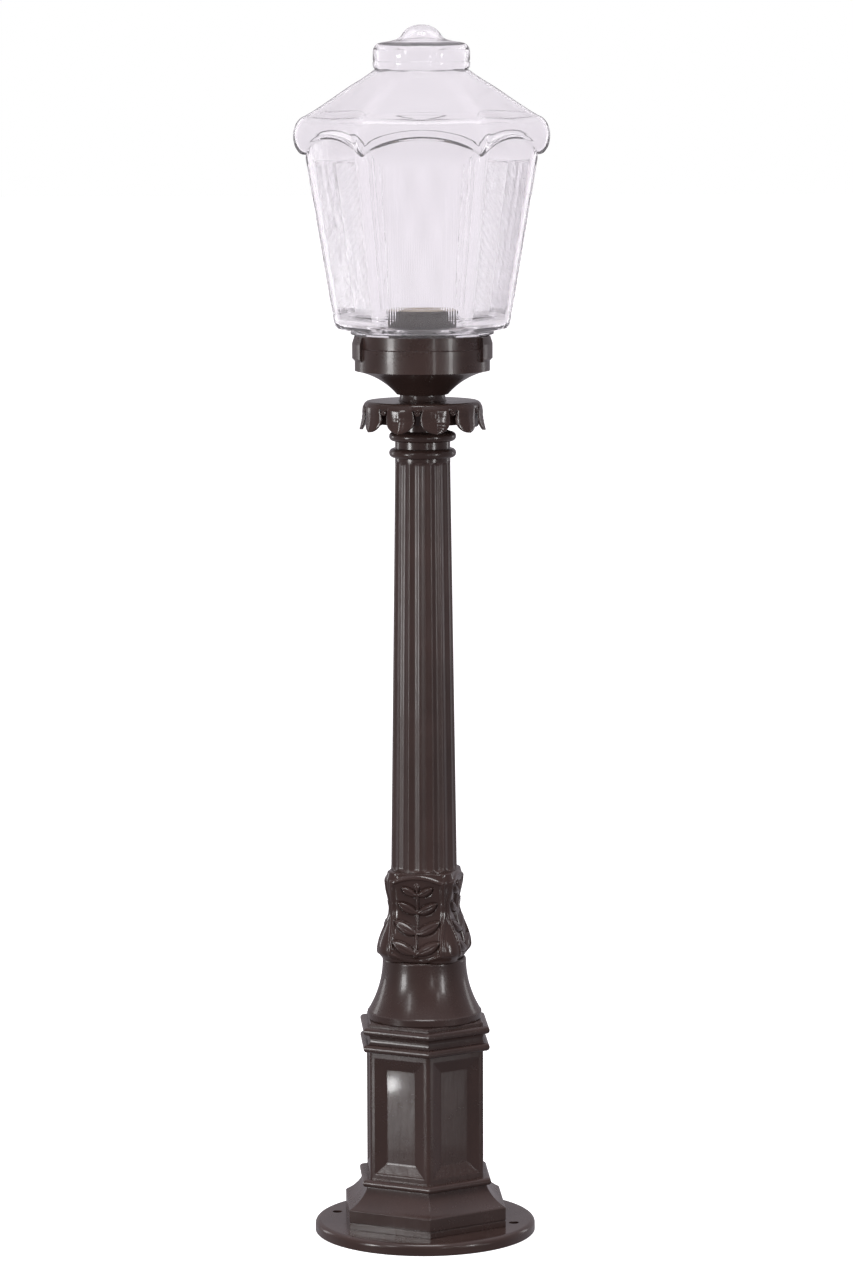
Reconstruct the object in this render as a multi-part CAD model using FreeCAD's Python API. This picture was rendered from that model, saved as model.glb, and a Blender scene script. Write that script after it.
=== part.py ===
"""Garden post lantern: a clear hexagonal globe with a bayonet neck on a cast aluminium post.

Every piece is written to parts/NODE.step in millimetres.  +Z is up, the origin is the middle of
the underside of the base plate, and -Y is the front of the lantern.
"""
import FreeCAD
import Part
import math
import os

V = FreeCAD.Vector
Z_AXIS = V(0, 0, 1)
ORIGIN = V(0, 0, 0)

# ---- driving dimensions, mm and degrees -------------------------------------------------------
TOTAL_HEIGHT = 1100.0
FRONT = 270.0                    # bearing of the front of the lantern, counter-clockwise from +X

# central clamping tube (M13x1 lamp tube) and its fasteners
TUBE_R = 6.5
TUBE_BORE_R = 5.0
TUBE_BOTTOM = 2.0
TUBE_TOP = 785.0
TUBE_HOLE_R = 6.7
NUT_ACROSS_FLATS = 19.0
NUT_HEIGHT = 4.6
WASHER_R = 13.0
WASHER_THICK = 1.6

# base plate
PLATE_R = 101.0
PLATE_THICK = 11.0
PLATE_EDGE_R = 4.5
PLATE_BOSS_R = 24.0
PLATE_BOSS_TOP = 15.0
NUT_RECESS_R = 19.0
NUT_RECESS_DEPTH = 8.6
FIXING_HOLE_R = 4.5
FIXING_CIRCLE_R = 84.0
FIXING_BEARING = 165.0

# hexagonal pedestal
PEDESTAL_TURN = 3.3              # its front vertex stands this far round from the front
PEDESTAL_TOP = 199.2
PLINTH_CORNER_R = 82.3
PLINTH_TOP = 29.5
PLINTH_GROOVE_Z = 17.0
SHAFT_CORNER_R = 59.9
SHAFT_FILLET_R = 4.0
SHAFT_BOTTOM = 54.85
SHAFT_TOP = 172.9
FOOT_BEAD_CORNER_R = 67.7
FOOT_BEAD_Z = 51.5
FOOT_BEAD_R = 3.35
HEAD_BEAD_CORNER_R = 66.4
HEAD_BEAD_Z = (176.5, 192.2)
HEAD_BEAD_R = 3.6
PANEL_BORDER = 5.6
PANEL_BEVEL = 9.8
PANEL_DEPTH = 3.8
PANEL_ARRIS = 0.6                # half width of the eased edges of a sunk panel
PEDESTAL_WALL = 8.0
PEDESTAL_CAP_THICK = 6.0

# bell between pedestal and leaf sleeve
BELL_FOOT_R = 52.2
BELL_FOOT_TOP = 206.4
BELL_THROAT_R = 38.2
BELL_TOP = 255.2
BELL_WALL = 4.0

# four-sided leaf sleeve
SLEEVE_TURN = -12.0              # its front panel faces this far round from the front
SLEEVE_TOP = 336.7
SLEEVE_BELLY = 38.4              # half width across the panels at the belly
SLEEVE_BELLY_Z = 263.8
SLEEVE_WAIST = 29.2
SLEEVE_WAIST_Z = 303.7
SLEEVE_SHOULDER = 32.0
SLEEVE_SHOULDER_Z = 327.7
SLEEVE_FOOT = 34.4
SLEEVE_HEAD = 30.2
SLEEVE_LEVELS = (255.2, 259.0, 263.8, 271.0, 279.0, 290.0, 303.7, 316.0, 327.7, 336.7)
SLEEVE_CORNER = 0.45             # corner radius as a share of the half width
SLEEVE_BORE_R = 20.0
SPRIG = ((269.3, 25.0, 8.6), (287.3, 24.0, 8.4), (304.8, 20.5, 7.6), (320.2, 16.5, 6.4))  # height, length, width
LEAF_RELIEF = 1.9
LEAF_SLOPE = 27.0

# fluted column
COLUMN_BOTTOM_R = 30.15
COLUMN_TOP_R = 25.0
COLUMN_TOP = 709.9
COLUMN_WALL = 5.4
FLUTE_COUNT = 16
FLUTE_TURN = 5.0
FLUTE_CUTTER_R = (8.2, 6.6)      # at the foot and at the head
FLUTE_DEPTH = 1.6
FLUTE_BOTTOM = 343.4
FLUTE_TOP = 704.2

# capital with two astragals
CAPITAL_TOP = 737.0
ASTRAGAL_R = 30.3
ASTRAGAL_HALF = 4.2
ASTRAGAL_Z = (717.1, 732.0)
CAPITAL_BAND_R = 24.9

# leaf crown
CROWN_TOP = 764.2
CROWN_DISC_R = 50.7
LEAF_COUNT = 10
LEAF_TURN = 13.0
LEAF_TIP_Z = 737.8
LEAF_HALF = 13.1                 # half width of a crown leaf
LEAF_ROOT_HALF = 10.8
LEAF_ROOT_Z = 756.6
LEAF_FLARE_R = 55.2
CROWN_SKIRT_R = 46.5
CROWN_SKIRT_BOTTOM = 744.5
CROWN_SKIRT_WALL = 3.0
CROWN_HUB_R = 22.0
CROWN_DISC_UNDER = 757.0

# lamp housing: trumpet bowl with a bayonet collar
NECK_TOP = 770.0
BOWL_FOOT_R = 24.0
BOWL_CURVE_MID = (41.0, 784.4)    # radius and height of the middle of the bowl's curve
BOWL_HOLLOW_MID = (40.0, 786.3)
COLLAR_R = 60.9
COLLAR_BOTTOM = 791.4
COLLAR_STEP_Z = 811.6
RING_R = 60.0
RING_TOP = 823.4
RING_BORE_R = 57.2
SHELF_BORE_R = 48.9
SHELF_TOP = 801.7
SHELF_THICK = 3.0
BOWL_FLOOR_Z = 775.5
POCKET_R = 63.3
POCKET_BORE_R = 60.3
POCKET_WALL = 0.9
POCKET_HEEL = 2.2
POCKET_SHOULDER_Z = 816.0
EDGE_RIB = 1.1                   # degrees
GUIDE_RIB = (-35.2, -34.0)       # degrees
GUIDE_RIB_Z = (801.6, 809.6)
POCKET_START = -30.0             # sector of the right-hand pocket, degrees from +X
POCKET_END = 28.0
POCKET_BOTTOM = 800.5
POCKET_TOP = 822.6
LUG_BEARING = -16.0
LUG_WIDTH = 20.0                 # degrees
LUG_R = 59.8
LUG_BOTTOM = 808.0
LUG_TOP = 812.0
LEDGE_BOTTOM = 815.5
ENTRY_START = -29.0
ENTRY_END = -3.0

# globe
GLOBE_NECK_R = 54.0
GLOBE_WALL = 3.0
GLOBE_NECK_BOTTOM = 805.1
FLANGE_R = 64.8
FLANGE_BOTTOM = 823.9
FLANGE_TOP = 826.9
BODY_BOTTOM = 832.5
BODY_BOTTOM_CORNER_R = 79.7
EAVE_BOTTOM = 985.0
EAVE_BOTTOM_CORNER_R = 105.0
EAVE_CORNER_R = 116.6
EAVE_Z = 1002.5
ROOF_BOTTOM = 1018.9
ROOF_BOTTOM_CORNER_R = 104.4
ROOF_TOP = 1061.4
ROOF_TOP_CORNER_R = 46.5
CAP_R = 43.3
CAP_SHOULDER_Z = 1077.0
CAP_DOME_Z = 1087.5
FINIAL_R = 16.4
FINIAL_BASE_Z = 1090.0
POST_BEAD_R = 3.4
ARCH_RISE = 12.5
ARCH_END_Z = 989.0

# lampholder, E27
BRIDGE_BOTTOM = 793.0
BRIDGE_THICK = 2.0
BRIDGE_WIDTH = 26.0
BRIDGE_BOSS_Y = 38.0
CUP_R = 30.5
CUP_THROAT_R = 26.2
CUP_TOP = 844.5
CUP_WALL = 1.2
PORCELAIN_R = 24.6
PORCELAIN_TOP = 847.0
PORCELAIN_FLOOR = 7.0
SHELL_R = 14.9
SHELL_BORE_R = 13.4
SHELL_BOTTOM = 813.0
SHELL_TOP = 843.0
HOLDER_SCREW_Y = 10.5
LEAD_HOLE_X = 8.0

# wiring
LEAD_R = 1.1
LEAD_Z = 791.6
LEAD_BEND_R = 3.0
POLE_PITCH = 6.0
BLOCK_X = (33.0, 45.0)
BLOCK_HALF_Y = 13.0
BLOCK_Z = (790.0, 801.0)
BLOCK_FIXING_Y = 10.4
EARTH_X = -30.0
EARTH_BOSS_TOP = 789.6
M4_HOLE_R = 2.05
M25_HOLE_R = 1.3
BRIDGE_SCREW_TIP = 788.0         # heights of the screws' lower ends
HOLDER_SCREW_TIP = 791.4
BLOCK_FIXING_TIP = 787.2
EARTH_SCREW_TIP = 783.6
BLIND_DEPTH = 0.5                # a blind hole runs this far past its screw

COS30 = math.cos(math.radians(30.0))
BRIDGE_TOP = BRIDGE_BOTTOM + BRIDGE_THICK
CUP_FLOOR_TOP = BRIDGE_TOP + CUP_WALL
PORCELAIN_FLOOR_TOP = CUP_FLOOR_TOP + PORCELAIN_FLOOR
MID_BLOCK_X = 0.5 * (BLOCK_X[0] + BLOCK_X[1])


# ---- helpers ----------------------------------------------------------------------------------
def save(name, shape):
    """Write one node, after a check that it is sound."""
    merged = shape.copy().removeSplitter()
    if merged.isValid():
        shape = merged
    if not shape.isValid():
        raise ValueError(name + " is not a valid shape")
    shape.exportStep("parts/" + name + ".step")
    print(f"{name:22s} solids {len(shape.Solids)}  volume {shape.Volume / 1000.0:9.2f} cm3")


def outline_edges(points):
    """Edges in the XZ plane.  A 2-tuple is a line's end; a 4-tuple is an arc's middle and end."""
    edges = []
    last = points[0]
    for step in points[1:]:
        start = V(last[0], 0, last[1])
        end = V(step[-2], 0, step[-1])
        if len(step) == 4:
            edges.append(Part.Arc(start, V(step[0], 0, step[1]), end).toShape())
        else:
            edges.append(Part.makeLine(start, end))
        last = (step[-2], step[-1])
    return edges, last


def turned(points):
    """A solid of revolution about Z from an outline in (radius, z)."""
    edges, last = outline_edges(points)
    if last != points[0]:
        edges.append(Part.makeLine(V(last[0], 0, last[1]), V(points[0][0], 0, points[0][1])))
    solid = Part.Face(Part.Wire(edges)).revolve(ORIGIN, Z_AXIS, 360)
    if solid.Volume < 0:
        solid.reverse()
    return solid


def dome(radius, z_low, z_top):
    """Outline step for a spherical cap that rises from (radius, z_low) to the axis at z_top."""
    rise = z_top - z_low
    sphere = (radius ** 2 + rise ** 2) / (2 * rise)
    half_angle = 0.5 * math.asin(radius / sphere)
    return sphere * math.sin(half_angle), z_top - sphere * (1 - math.cos(half_angle)), 0, z_top


def hexagonal(points, vertex_bearing):
    """A six-sided solid with mitred mouldings from an outline in (apothem, z), axis to axis."""
    edges, _ = outline_edges(points)
    mirrored = [edge.mirror(ORIGIN, V(1, 0, 0)) for edge in edges]
    wire = Part.Wire(Part.__sortEdges__(edges + mirrored))
    reach = 200.0
    slab = Part.Face(wire).extrude(V(0, 2 * reach, 0))
    slab.translate(V(0, -reach, 0))
    slabs = []
    for k in range(3):
        copy = slab.copy()
        copy.rotate(ORIGIN, Z_AXIS, vertex_bearing + 30.0 + 60.0 * k)
        slabs.append(copy)
    return slabs[0].common(slabs[1]).common(slabs[2])


def cylinder(radius, z0, z1, x=0.0, y=0.0):
    return Part.makeCylinder(radius, z1 - z0, V(x, y, z0))


def tube(outer, inner, z0, z1):
    return cylinder(outer, z0, z1).cut(cylinder(inner, z0 - 1, z1 + 1))


def sector(outer, inner, z0, z1, start, end):
    """Part of a tube between two bearings."""
    ring = Part.makeCylinder(outer, z1 - z0, V(0, 0, z0), Z_AXIS, end - start)
    ring = ring.cut(cylinder(inner, z0 - 1, z1 + 1))
    ring.rotate(ORIGIN, Z_AXIS, start)
    return ring


def box(x0, x1, y0, y1, z0, z1):
    return Part.makeBox(x1 - x0, y1 - y0, z1 - z0, V(x0, y0, z0))


def turn(shape, bearing):
    copy = shape.copy()
    copy.rotate(ORIGIN, Z_AXIS, bearing)
    return copy


def fuse_all(shapes):
    return shapes[0].multiFuse(shapes[1:]) if len(shapes) > 1 else shapes[0]


def hexagon_nut(across_flats, z0, z1, bore):
    corner = across_flats / 2 / COS30
    points = [V(corner * math.cos(math.radians(60 * k)), corner * math.sin(math.radians(60 * k)), z0)
              for k in range(7)]
    body = Part.Face(Part.makePolygon(points)).extrude(V(0, 0, z1 - z0))
    rounding = Part.makeCone(corner + 0.2, across_flats / 2 - 0.3, z1 - z0, V(0, 0, z0))
    return body.common(rounding.fuse(cylinder(corner + 0.2, z0, z0 + 0.7 * (z1 - z0)))).cut(
        cylinder(bore, z0 - 1, z1 + 1))


def pan_screw(x, y, seat_z, tip_z, shank_r, head_r, head_height):
    """A domed screw standing on seat_z with a slot across its head."""
    shoulder = seat_z + 0.4 * head_height
    head = turned([(0, seat_z), (head_r, seat_z), (head_r, shoulder),
                   dome(head_r, shoulder, seat_z + head_height)])
    slot = box(-head_r, head_r, -0.4, 0.4, seat_z + 0.55 * head_height, seat_z + 2 * head_height)
    screw = head.cut(slot).fuse(cylinder(shank_r, tip_z, seat_z))
    screw.translate(V(x, y, 0))
    return screw


def apothem(corner_r):
    return corner_r * COS30


# ---- base -------------------------------------------------------------------------------------
def base_plate():
    edge = PLATE_EDGE_R
    bend = edge * (1 - math.sqrt(0.5))
    body = turned([(0, 0), (PLATE_R - 0.8, 0), (PLATE_R, 0.8), (PLATE_R, PLATE_THICK - edge),
                   (PLATE_R - bend, PLATE_THICK - bend, PLATE_R - edge, PLATE_THICK),
                   (PLATE_BOSS_R, PLATE_THICK), (PLATE_BOSS_R, PLATE_BOSS_TOP), (0, PLATE_BOSS_TOP)])
    cuts = [cylinder(NUT_RECESS_R, -1, NUT_RECESS_DEPTH), cylinder(TUBE_HOLE_R, -1, PLATE_BOSS_TOP + 1)]
    for bearing in (FIXING_BEARING, FIXING_BEARING + 180.0):
        cuts.append(turn(cylinder(FIXING_HOLE_R, -1, PLATE_THICK + 1, FIXING_CIRCLE_R, 0), bearing))
    return body.cut(fuse_all(cuts))


def pedestal():
    """Hollow six-sided casting with mitred mouldings and a sunk panel on every face."""
    plinth = apothem(PLINTH_CORNER_R)
    shaft = apothem(SHAFT_CORNER_R)
    foot_bead = apothem(FOOT_BEAD_CORNER_R) - FOOT_BEAD_R
    head_bead = apothem(HEAD_BEAD_CORNER_R) - HEAD_BEAD_R
    groove = 0.6
    flare_top = FOOT_BEAD_Z - FOOT_BEAD_R
    low, high = HEAD_BEAD_Z
    vertex = FRONT + PEDESTAL_TURN
    foot = hexagonal([
        (0, PLATE_THICK), (plinth, PLATE_THICK), (plinth, PLINTH_GROOVE_Z - groove),
        (plinth - groove, PLINTH_GROOVE_Z, plinth, PLINTH_GROOVE_Z + groove),
        (plinth, PLINTH_TOP - 1.0), (plinth - 1.0, PLINTH_TOP),
        (plinth - 10.2, PLINTH_TOP + 7.3, foot_bead - 0.9, flare_top),
        (foot_bead, flare_top), (foot_bead + FOOT_BEAD_R, FOOT_BEAD_Z, foot_bead, SHAFT_BOTTOM),
        (0, SHAFT_BOTTOM)], vertex)
    head = hexagonal([
        (0, SHAFT_TOP), (head_bead, SHAFT_TOP),
        (head_bead + HEAD_BEAD_R, low, head_bead, low + HEAD_BEAD_R),
        (head_bead - 1.2, low + HEAD_BEAD_R),
        (head_bead - 2.6, 0.5 * (low + high), head_bead - 1.2, high - HEAD_BEAD_R),
        (head_bead, high - HEAD_BEAD_R), (head_bead + HEAD_BEAD_R, high, head_bead, high + HEAD_BEAD_R),
        (shaft - 0.4, high + HEAD_BEAD_R), (shaft - 0.4, PEDESTAL_TOP - 0.8),
        (shaft - 1.2, PEDESTAL_TOP), (0, PEDESTAL_TOP)], vertex)
    column = hexagonal([(0, SHAFT_BOTTOM), (shaft, SHAFT_BOTTOM), (shaft, SHAFT_TOP), (0, SHAFT_TOP)], vertex)
    uprights = [edge for edge in column.Edges if edge.BoundBox.ZLength > 0.9 * (SHAFT_TOP - SHAFT_BOTTOM)]
    column = column.makeFillet(SHAFT_FILLET_R, uprights)
    body = fuse_all([foot, column, head])

    inner = shaft - PEDESTAL_WALL
    cavity = hexagonal([
        (0, PLATE_THICK - 1), (plinth - 6.0, PLATE_THICK - 1), (plinth - 6.0, PLINTH_TOP - 5.0),
        (inner, flare_top), (inner, PEDESTAL_TOP - PEDESTAL_CAP_THICK),
        (0, PEDESTAL_TOP - PEDESTAL_CAP_THICK)], vertex)
    panel = sunk_panel(shaft)
    panels = [turn(panel, vertex + 30.0 + 60.0 * k) for k in range(6)]
    return body.cut(fuse_all([cavity, cylinder(TUBE_HOLE_R, PLATE_THICK, PEDESTAL_TOP + 1)] + panels))


def sunk_panel(face_x):
    """The tool that sinks one panel with bevelled sides into a face whose normal is +X."""
    half_y = face_x * math.tan(math.radians(30.0)) - PANEL_BORDER
    z0 = SHAFT_BOTTOM + PANEL_BORDER
    z1 = SHAFT_TOP - PANEL_BORDER
    floor_x = face_x - PANEL_DEPTH
    arris = PANEL_ARRIS

    def frame(x, inset):
        y = half_y - inset
        corners = [V(x, -y, z0 + inset), V(x, y, z0 + inset), V(x, y, z1 - inset), V(x, -y, z1 - inset)]
        return Part.makePolygon(corners + corners[:1])

    frames = [frame(face_x + 2 * arris, -3 * arris), frame(face_x, -arris), frame(face_x - arris, arris),
              frame(floor_x + 0.5 * arris, PANEL_BEVEL - arris), frame(floor_x, PANEL_BEVEL + arris)]
    return Part.makeLoft(frames, True, True)


def bell_collar():
    """Round cavetto that carries the load from the leaf sleeve to the pedestal."""
    foot = BELL_FOOT_R
    mid_z = 227.4
    mid_r = 42.0
    top = BELL_TOP
    wall = BELL_WALL
    return turned([
        (foot - wall, PEDESTAL_TOP), (foot - 0.6, PEDESTAL_TOP), (foot, PEDESTAL_TOP + 0.6),
        (foot, BELL_FOOT_TOP - 0.8), (foot - 0.8, BELL_FOOT_TOP),
        (mid_r, mid_z, BELL_THROAT_R, top - 3.0),
        (BELL_THROAT_R - 0.4, top - 0.9, BELL_THROAT_R - 1.4, top),
        (TUBE_HOLE_R, top), (TUBE_HOLE_R, top - 5.0), (BELL_THROAT_R - wall, top - 5.0),
        (mid_r - wall, mid_z - 1.0, foot - wall, BELL_FOOT_TOP - 3.0)])


def rounded_square(half, z):
    """A square wire with rounded corners, half its width across the flats."""
    r = SLEEVE_CORNER * half
    c = half - r
    edges = []
    for k in range(4):
        turn_by = FreeCAD.Rotation(Z_AXIS, 90.0 * k)
        side = [turn_by.multVec(V(half, -c, z)), turn_by.multVec(V(half, c, z))]
        arc_mid = turn_by.multVec(V(c + r * math.sqrt(0.5), c + r * math.sqrt(0.5), z))
        arc_end = turn_by.multVec(V(c, half, z))
        edges.append(Part.makeLine(side[0], side[1]))
        edges.append(Part.Arc(side[1], arc_mid, arc_end).toShape())
    return Part.Wire(edges)


def sleeve_half_width(z):
    """Half width of the leaf sleeve: belly low down, waist above it, shoulder near the top."""
    def blend(a, b, t):
        return a + (b - a) * (0.5 - 0.5 * math.cos(math.pi * t))

    if z < SLEEVE_BELLY_Z:
        return blend(SLEEVE_FOOT, SLEEVE_BELLY, (z - BELL_TOP) / (SLEEVE_BELLY_Z - BELL_TOP))
    if z < SLEEVE_WAIST_Z:
        return blend(SLEEVE_BELLY, SLEEVE_WAIST, (z - SLEEVE_BELLY_Z) / (SLEEVE_WAIST_Z - SLEEVE_BELLY_Z))
    if z < SLEEVE_SHOULDER_Z:
        return blend(SLEEVE_WAIST, SLEEVE_SHOULDER, (z - SLEEVE_WAIST_Z) / (SLEEVE_SHOULDER_Z - SLEEVE_WAIST_Z))
    return blend(SLEEVE_SHOULDER, SLEEVE_HEAD, (z - SLEEVE_SHOULDER_Z) / (SLEEVE_TOP - SLEEVE_SHOULDER_Z))


def leaf_sleeve():
    """Four concave panels, each with a central stem and pairs of raised leaves."""
    body = Part.makeLoft([rounded_square(sleeve_half_width(z), z) for z in SLEEVE_LEVELS], True, False)
    relief = []
    for side in range(4):
        for z, length, width in SPRIG:
            for hand in (-1, 1):
                relief.append(turn(raised_leaf(hand, z, length, width), 90.0 * side))
    body = body.multiFuse(relief)
    spigot_r = COLUMN_BOTTOM_R - COLUMN_WALL - 0.3
    body = body.fuse(cylinder(spigot_r, SLEEVE_TOP - 2, SLEEVE_TOP + 4.0))
    body = body.cut(cylinder(SLEEVE_BORE_R, BELL_TOP + 4.5, SLEEVE_TOP - 5.0))
    body = body.cut(cylinder(TUBE_HOLE_R, BELL_TOP - 1, SLEEVE_TOP + 6.0))
    return turn(body, FRONT + SLEEVE_TURN)


def raised_leaf(hand, z, length, width):
    """One almond leaf that leans up and outwards on the panel that faces +X."""
    leaf = Part.makeSphere(1.0)
    stretch = FreeCAD.Matrix()
    stretch.scale(LEAF_RELIEF + 1.6, length / 2, width / 2)
    leaf = leaf.transformGeometry(stretch)
    leaf.rotate(ORIGIN, V(1, 0, 0), hand * LEAF_SLOPE)
    leaf.translate(V(sleeve_half_width(z) - 1.7, hand * 0.43 * length, z))
    return leaf


def fluted_column():
    """Tapered tube with sixteen round-ended flutes."""
    z0 = SLEEVE_TOP
    body = turned([(COLUMN_BOTTOM_R - COLUMN_WALL, z0), (COLUMN_BOTTOM_R, z0), (COLUMN_TOP_R, COLUMN_TOP),
                   (COLUMN_TOP_R - COLUMN_WALL, COLUMN_TOP)])
    slope = (COLUMN_BOTTOM_R - COLUMN_TOP_R) / (COLUMN_TOP - z0)

    def axis_point(z, cutter_r):
        return V(COLUMN_BOTTOM_R - slope * (z - z0) + cutter_r - FLUTE_DEPTH, 0, z)

    low = axis_point(FLUTE_BOTTOM, FLUTE_CUTTER_R[0])
    high = axis_point(FLUTE_TOP, FLUTE_CUTTER_R[1])
    along = high.sub(low)
    cutter = Part.makeCone(FLUTE_CUTTER_R[0], FLUTE_CUTTER_R[1], along.Length, low, along)
    ends = [Part.makeSphere(radius, point) for radius, point in zip(FLUTE_CUTTER_R, (low, high))]
    cutter = fuse_all([cutter] + ends)
    cutters = [turn(cutter, FRONT + FLUTE_TURN + 360.0 * k / FLUTE_COUNT) for k in range(FLUTE_COUNT)]
    return body.cut(Part.makeCompound(cutters))


def capital_ring():
    """Short turned capital with two astragals."""
    ring = ASTRAGAL_R - ASTRAGAL_HALF
    low, high = ASTRAGAL_Z
    half = ASTRAGAL_HALF
    spigot_r = COLUMN_TOP_R - COLUMN_WALL - 0.3
    return turned([
        (TUBE_HOLE_R, COLUMN_TOP - 5.0), (spigot_r, COLUMN_TOP - 5.0), (spigot_r, COLUMN_TOP),
        (COLUMN_TOP_R, COLUMN_TOP), (COLUMN_TOP_R, low - half), (ring, low - half),
        (ring + half, low, ring, low + half), (CAPITAL_BAND_R, low + half), (CAPITAL_BAND_R, high - half),
        (ring, high - half), (ring + half, high, ring, high + half), (ring - 2.0, CAPITAL_TOP),
        (TUBE_HOLE_R, CAPITAL_TOP)])


def leaf_crown():
    """Disc whose rim turns down into ten separate leaves round a plain skirt."""
    disc_under = CROWN_DISC_UNDER
    skirt_bore = CROWN_SKIRT_R - CROWN_SKIRT_WALL
    leaf_bottom = LEAF_TIP_Z - 1.0
    crown = turned([
        (TUBE_HOLE_R, CAPITAL_TOP), (CROWN_HUB_R, CAPITAL_TOP), (CROWN_HUB_R, disc_under),
        (skirt_bore, disc_under), (skirt_bore, CROWN_SKIRT_BOTTOM), (CROWN_SKIRT_R, CROWN_SKIRT_BOTTOM),
        (CROWN_SKIRT_R, disc_under), (50.6, disc_under), (51.6, 750.0, LEAF_FLARE_R - 2.6, leaf_bottom),
        (LEAF_FLARE_R, leaf_bottom), (54.6, 749.0, 53.4, 758.4),
        (CROWN_DISC_R + 0.7, CROWN_TOP - 1.8), (CROWN_DISC_R, CROWN_TOP - 0.6, CROWN_DISC_R - 1.2, CROWN_TOP),
        (TUBE_HOLE_R, CROWN_TOP)])
    half = [(LEAF_ROOT_HALF, LEAF_ROOT_Z), (LEAF_HALF - 0.7, 753.5), (LEAF_HALF, 749.5),
            (0.855 * LEAF_HALF, 743.6), (0.527 * LEAF_HALF, 739.8)]
    edge = [V(0, y, z) for y, z in half] + [V(0, 0, LEAF_TIP_Z)] + [V(0, -y, z) for y, z in reversed(half)]
    side = Part.BSplineCurve()
    side.interpolate(edge)
    root = Part.makePolygon([edge[-1], V(0, -LEAF_ROOT_HALF, CROWN_TOP), V(0, LEAF_ROOT_HALF, CROWN_TOP), edge[0]])
    tongue = Part.Face(Part.Wire([side.toShape()] + root.Edges)).extrude(V(70.0, 0, 0))
    bearings = [FRONT + LEAF_TURN + 360.0 * k / LEAF_COUNT for k in range(LEAF_COUNT)]
    notches = tube(60.0, 49.0, leaf_bottom - 2.0, LEAF_ROOT_Z)
    return crown.cut(notches.cut(fuse_all([turn(tongue, bearing) for bearing in bearings])))


def neck_spacer():
    return turned([(TUBE_HOLE_R, CROWN_TOP), (21.8, CROWN_TOP), (21.0, CROWN_TOP + 2.0, 20.3, NECK_TOP),
                   (TUBE_HOLE_R, NECK_TOP)])


# ---- lamp housing -----------------------------------------------------------------------------
def lamp_housing():
    """Trumpet-shaped bowl with a collar and two bayonet pockets."""
    shelf_under = SHELF_TOP - SHELF_THICK
    outside = [(BOWL_FOOT_R - 0.8, NECK_TOP), (BOWL_FOOT_R, NECK_TOP + 0.9),
               (*BOWL_CURVE_MID, COLLAR_R, COLLAR_BOTTOM), (COLLAR_R, COLLAR_STEP_Z),
               (RING_R, COLLAR_STEP_Z + 0.6), (RING_R, RING_TOP)]
    body = turned([(0, NECK_TOP)] + outside + [(0, RING_TOP)])
    hollow = turned([
        (0, BOWL_FLOOR_Z), (20.5, BOWL_FLOOR_Z), (*BOWL_HOLLOW_MID, RING_BORE_R, COLLAR_BOTTOM + 1.8),
        (RING_BORE_R, shelf_under), (SHELF_BORE_R, shelf_under), (SHELF_BORE_R, SHELF_TOP),
        (RING_BORE_R, SHELF_TOP), (RING_BORE_R, RING_TOP + 1), (0, RING_TOP + 1)])
    bosses = []
    holes = [cylinder(TUBE_HOLE_R, NECK_TOP - 1, BOWL_FLOOR_Z + 1)]
    for y in (-BRIDGE_BOSS_Y, BRIDGE_BOSS_Y):
        bosses.append(cylinder(4.5, NECK_TOP, BRIDGE_BOTTOM, 0, y))
        holes.append(cylinder(M4_HOLE_R, BRIDGE_SCREW_TIP - BLIND_DEPTH, BRIDGE_BOTTOM + 1, 0, y))
    for y in (-BLOCK_FIXING_Y, BLOCK_FIXING_Y):
        bosses.append(cylinder(2.6, NECK_TOP, BLOCK_Z[0], MID_BLOCK_X, y))
        holes.append(cylinder(M25_HOLE_R, BLOCK_FIXING_TIP - BLIND_DEPTH, BLOCK_Z[0] + 1, MID_BLOCK_X, y))
    bosses.append(cylinder(4.2, NECK_TOP, EARTH_BOSS_TOP, EARTH_X, POLE_PITCH))
    holes.append(cylinder(M4_HOLE_R, EARTH_SCREW_TIP - BLIND_DEPTH, EARTH_BOSS_TOP + 1, EARTH_X, POLE_PITCH))
    hollow = hollow.cut(Part.makeCompound(bosses))
    for half_turn in (0.0, 180.0):
        body = body.fuse(turn(bayonet_pocket(), half_turn))
    body = body.cut(hollow)
    for half_turn in (0.0, 180.0):
        body = body.cut(turn(bayonet_slot(), half_turn))
    return body.cut(Part.makeCompound(holes))


def bayonet_pocket():
    """Raised outside of the pocket round +X, with a chamfered heel and shoulder, an edge rib and a guide rib."""
    root = RING_BORE_R + 1.0
    outline = Part.makePolygon([V(r, 0, z) for r, z in (
        (root, POCKET_BOTTOM), (POCKET_R - POCKET_HEEL, POCKET_BOTTOM), (POCKET_R, POCKET_BOTTOM + POCKET_HEEL),
        (POCKET_R, POCKET_SHOULDER_Z), (POCKET_BORE_R + POCKET_WALL, POCKET_TOP), (root, POCKET_TOP),
        (root, POCKET_BOTTOM))])
    body = Part.Face(outline).revolve(ORIGIN, Z_AXIS, POCKET_END - POCKET_START)
    body = turn(body, POCKET_START)
    rib = sector(POCKET_R + 0.1, RING_R - 0.5, POCKET_BOTTOM, POCKET_TOP, POCKET_START - EDGE_RIB, POCKET_START + 0.1)
    guide = sector(COLLAR_R + 0.9, RING_R - 0.5, *GUIDE_RIB_Z, *GUIDE_RIB)
    return fuse_all([body, rib, guide])


def bayonet_slot():
    """Space inside one pocket: an entry open to the top, then a run under a ledge."""
    run = sector(POCKET_BORE_R, SHELF_BORE_R + 2.0, SHELF_TOP + 1.6, LEDGE_BOTTOM, ENTRY_START, POCKET_END - 1.0)
    entry = sector(POCKET_BORE_R, SHELF_BORE_R + 2.0, SHELF_TOP + 1.6, RING_TOP + 1, ENTRY_START, ENTRY_END)
    return run.fuse(entry)


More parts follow.
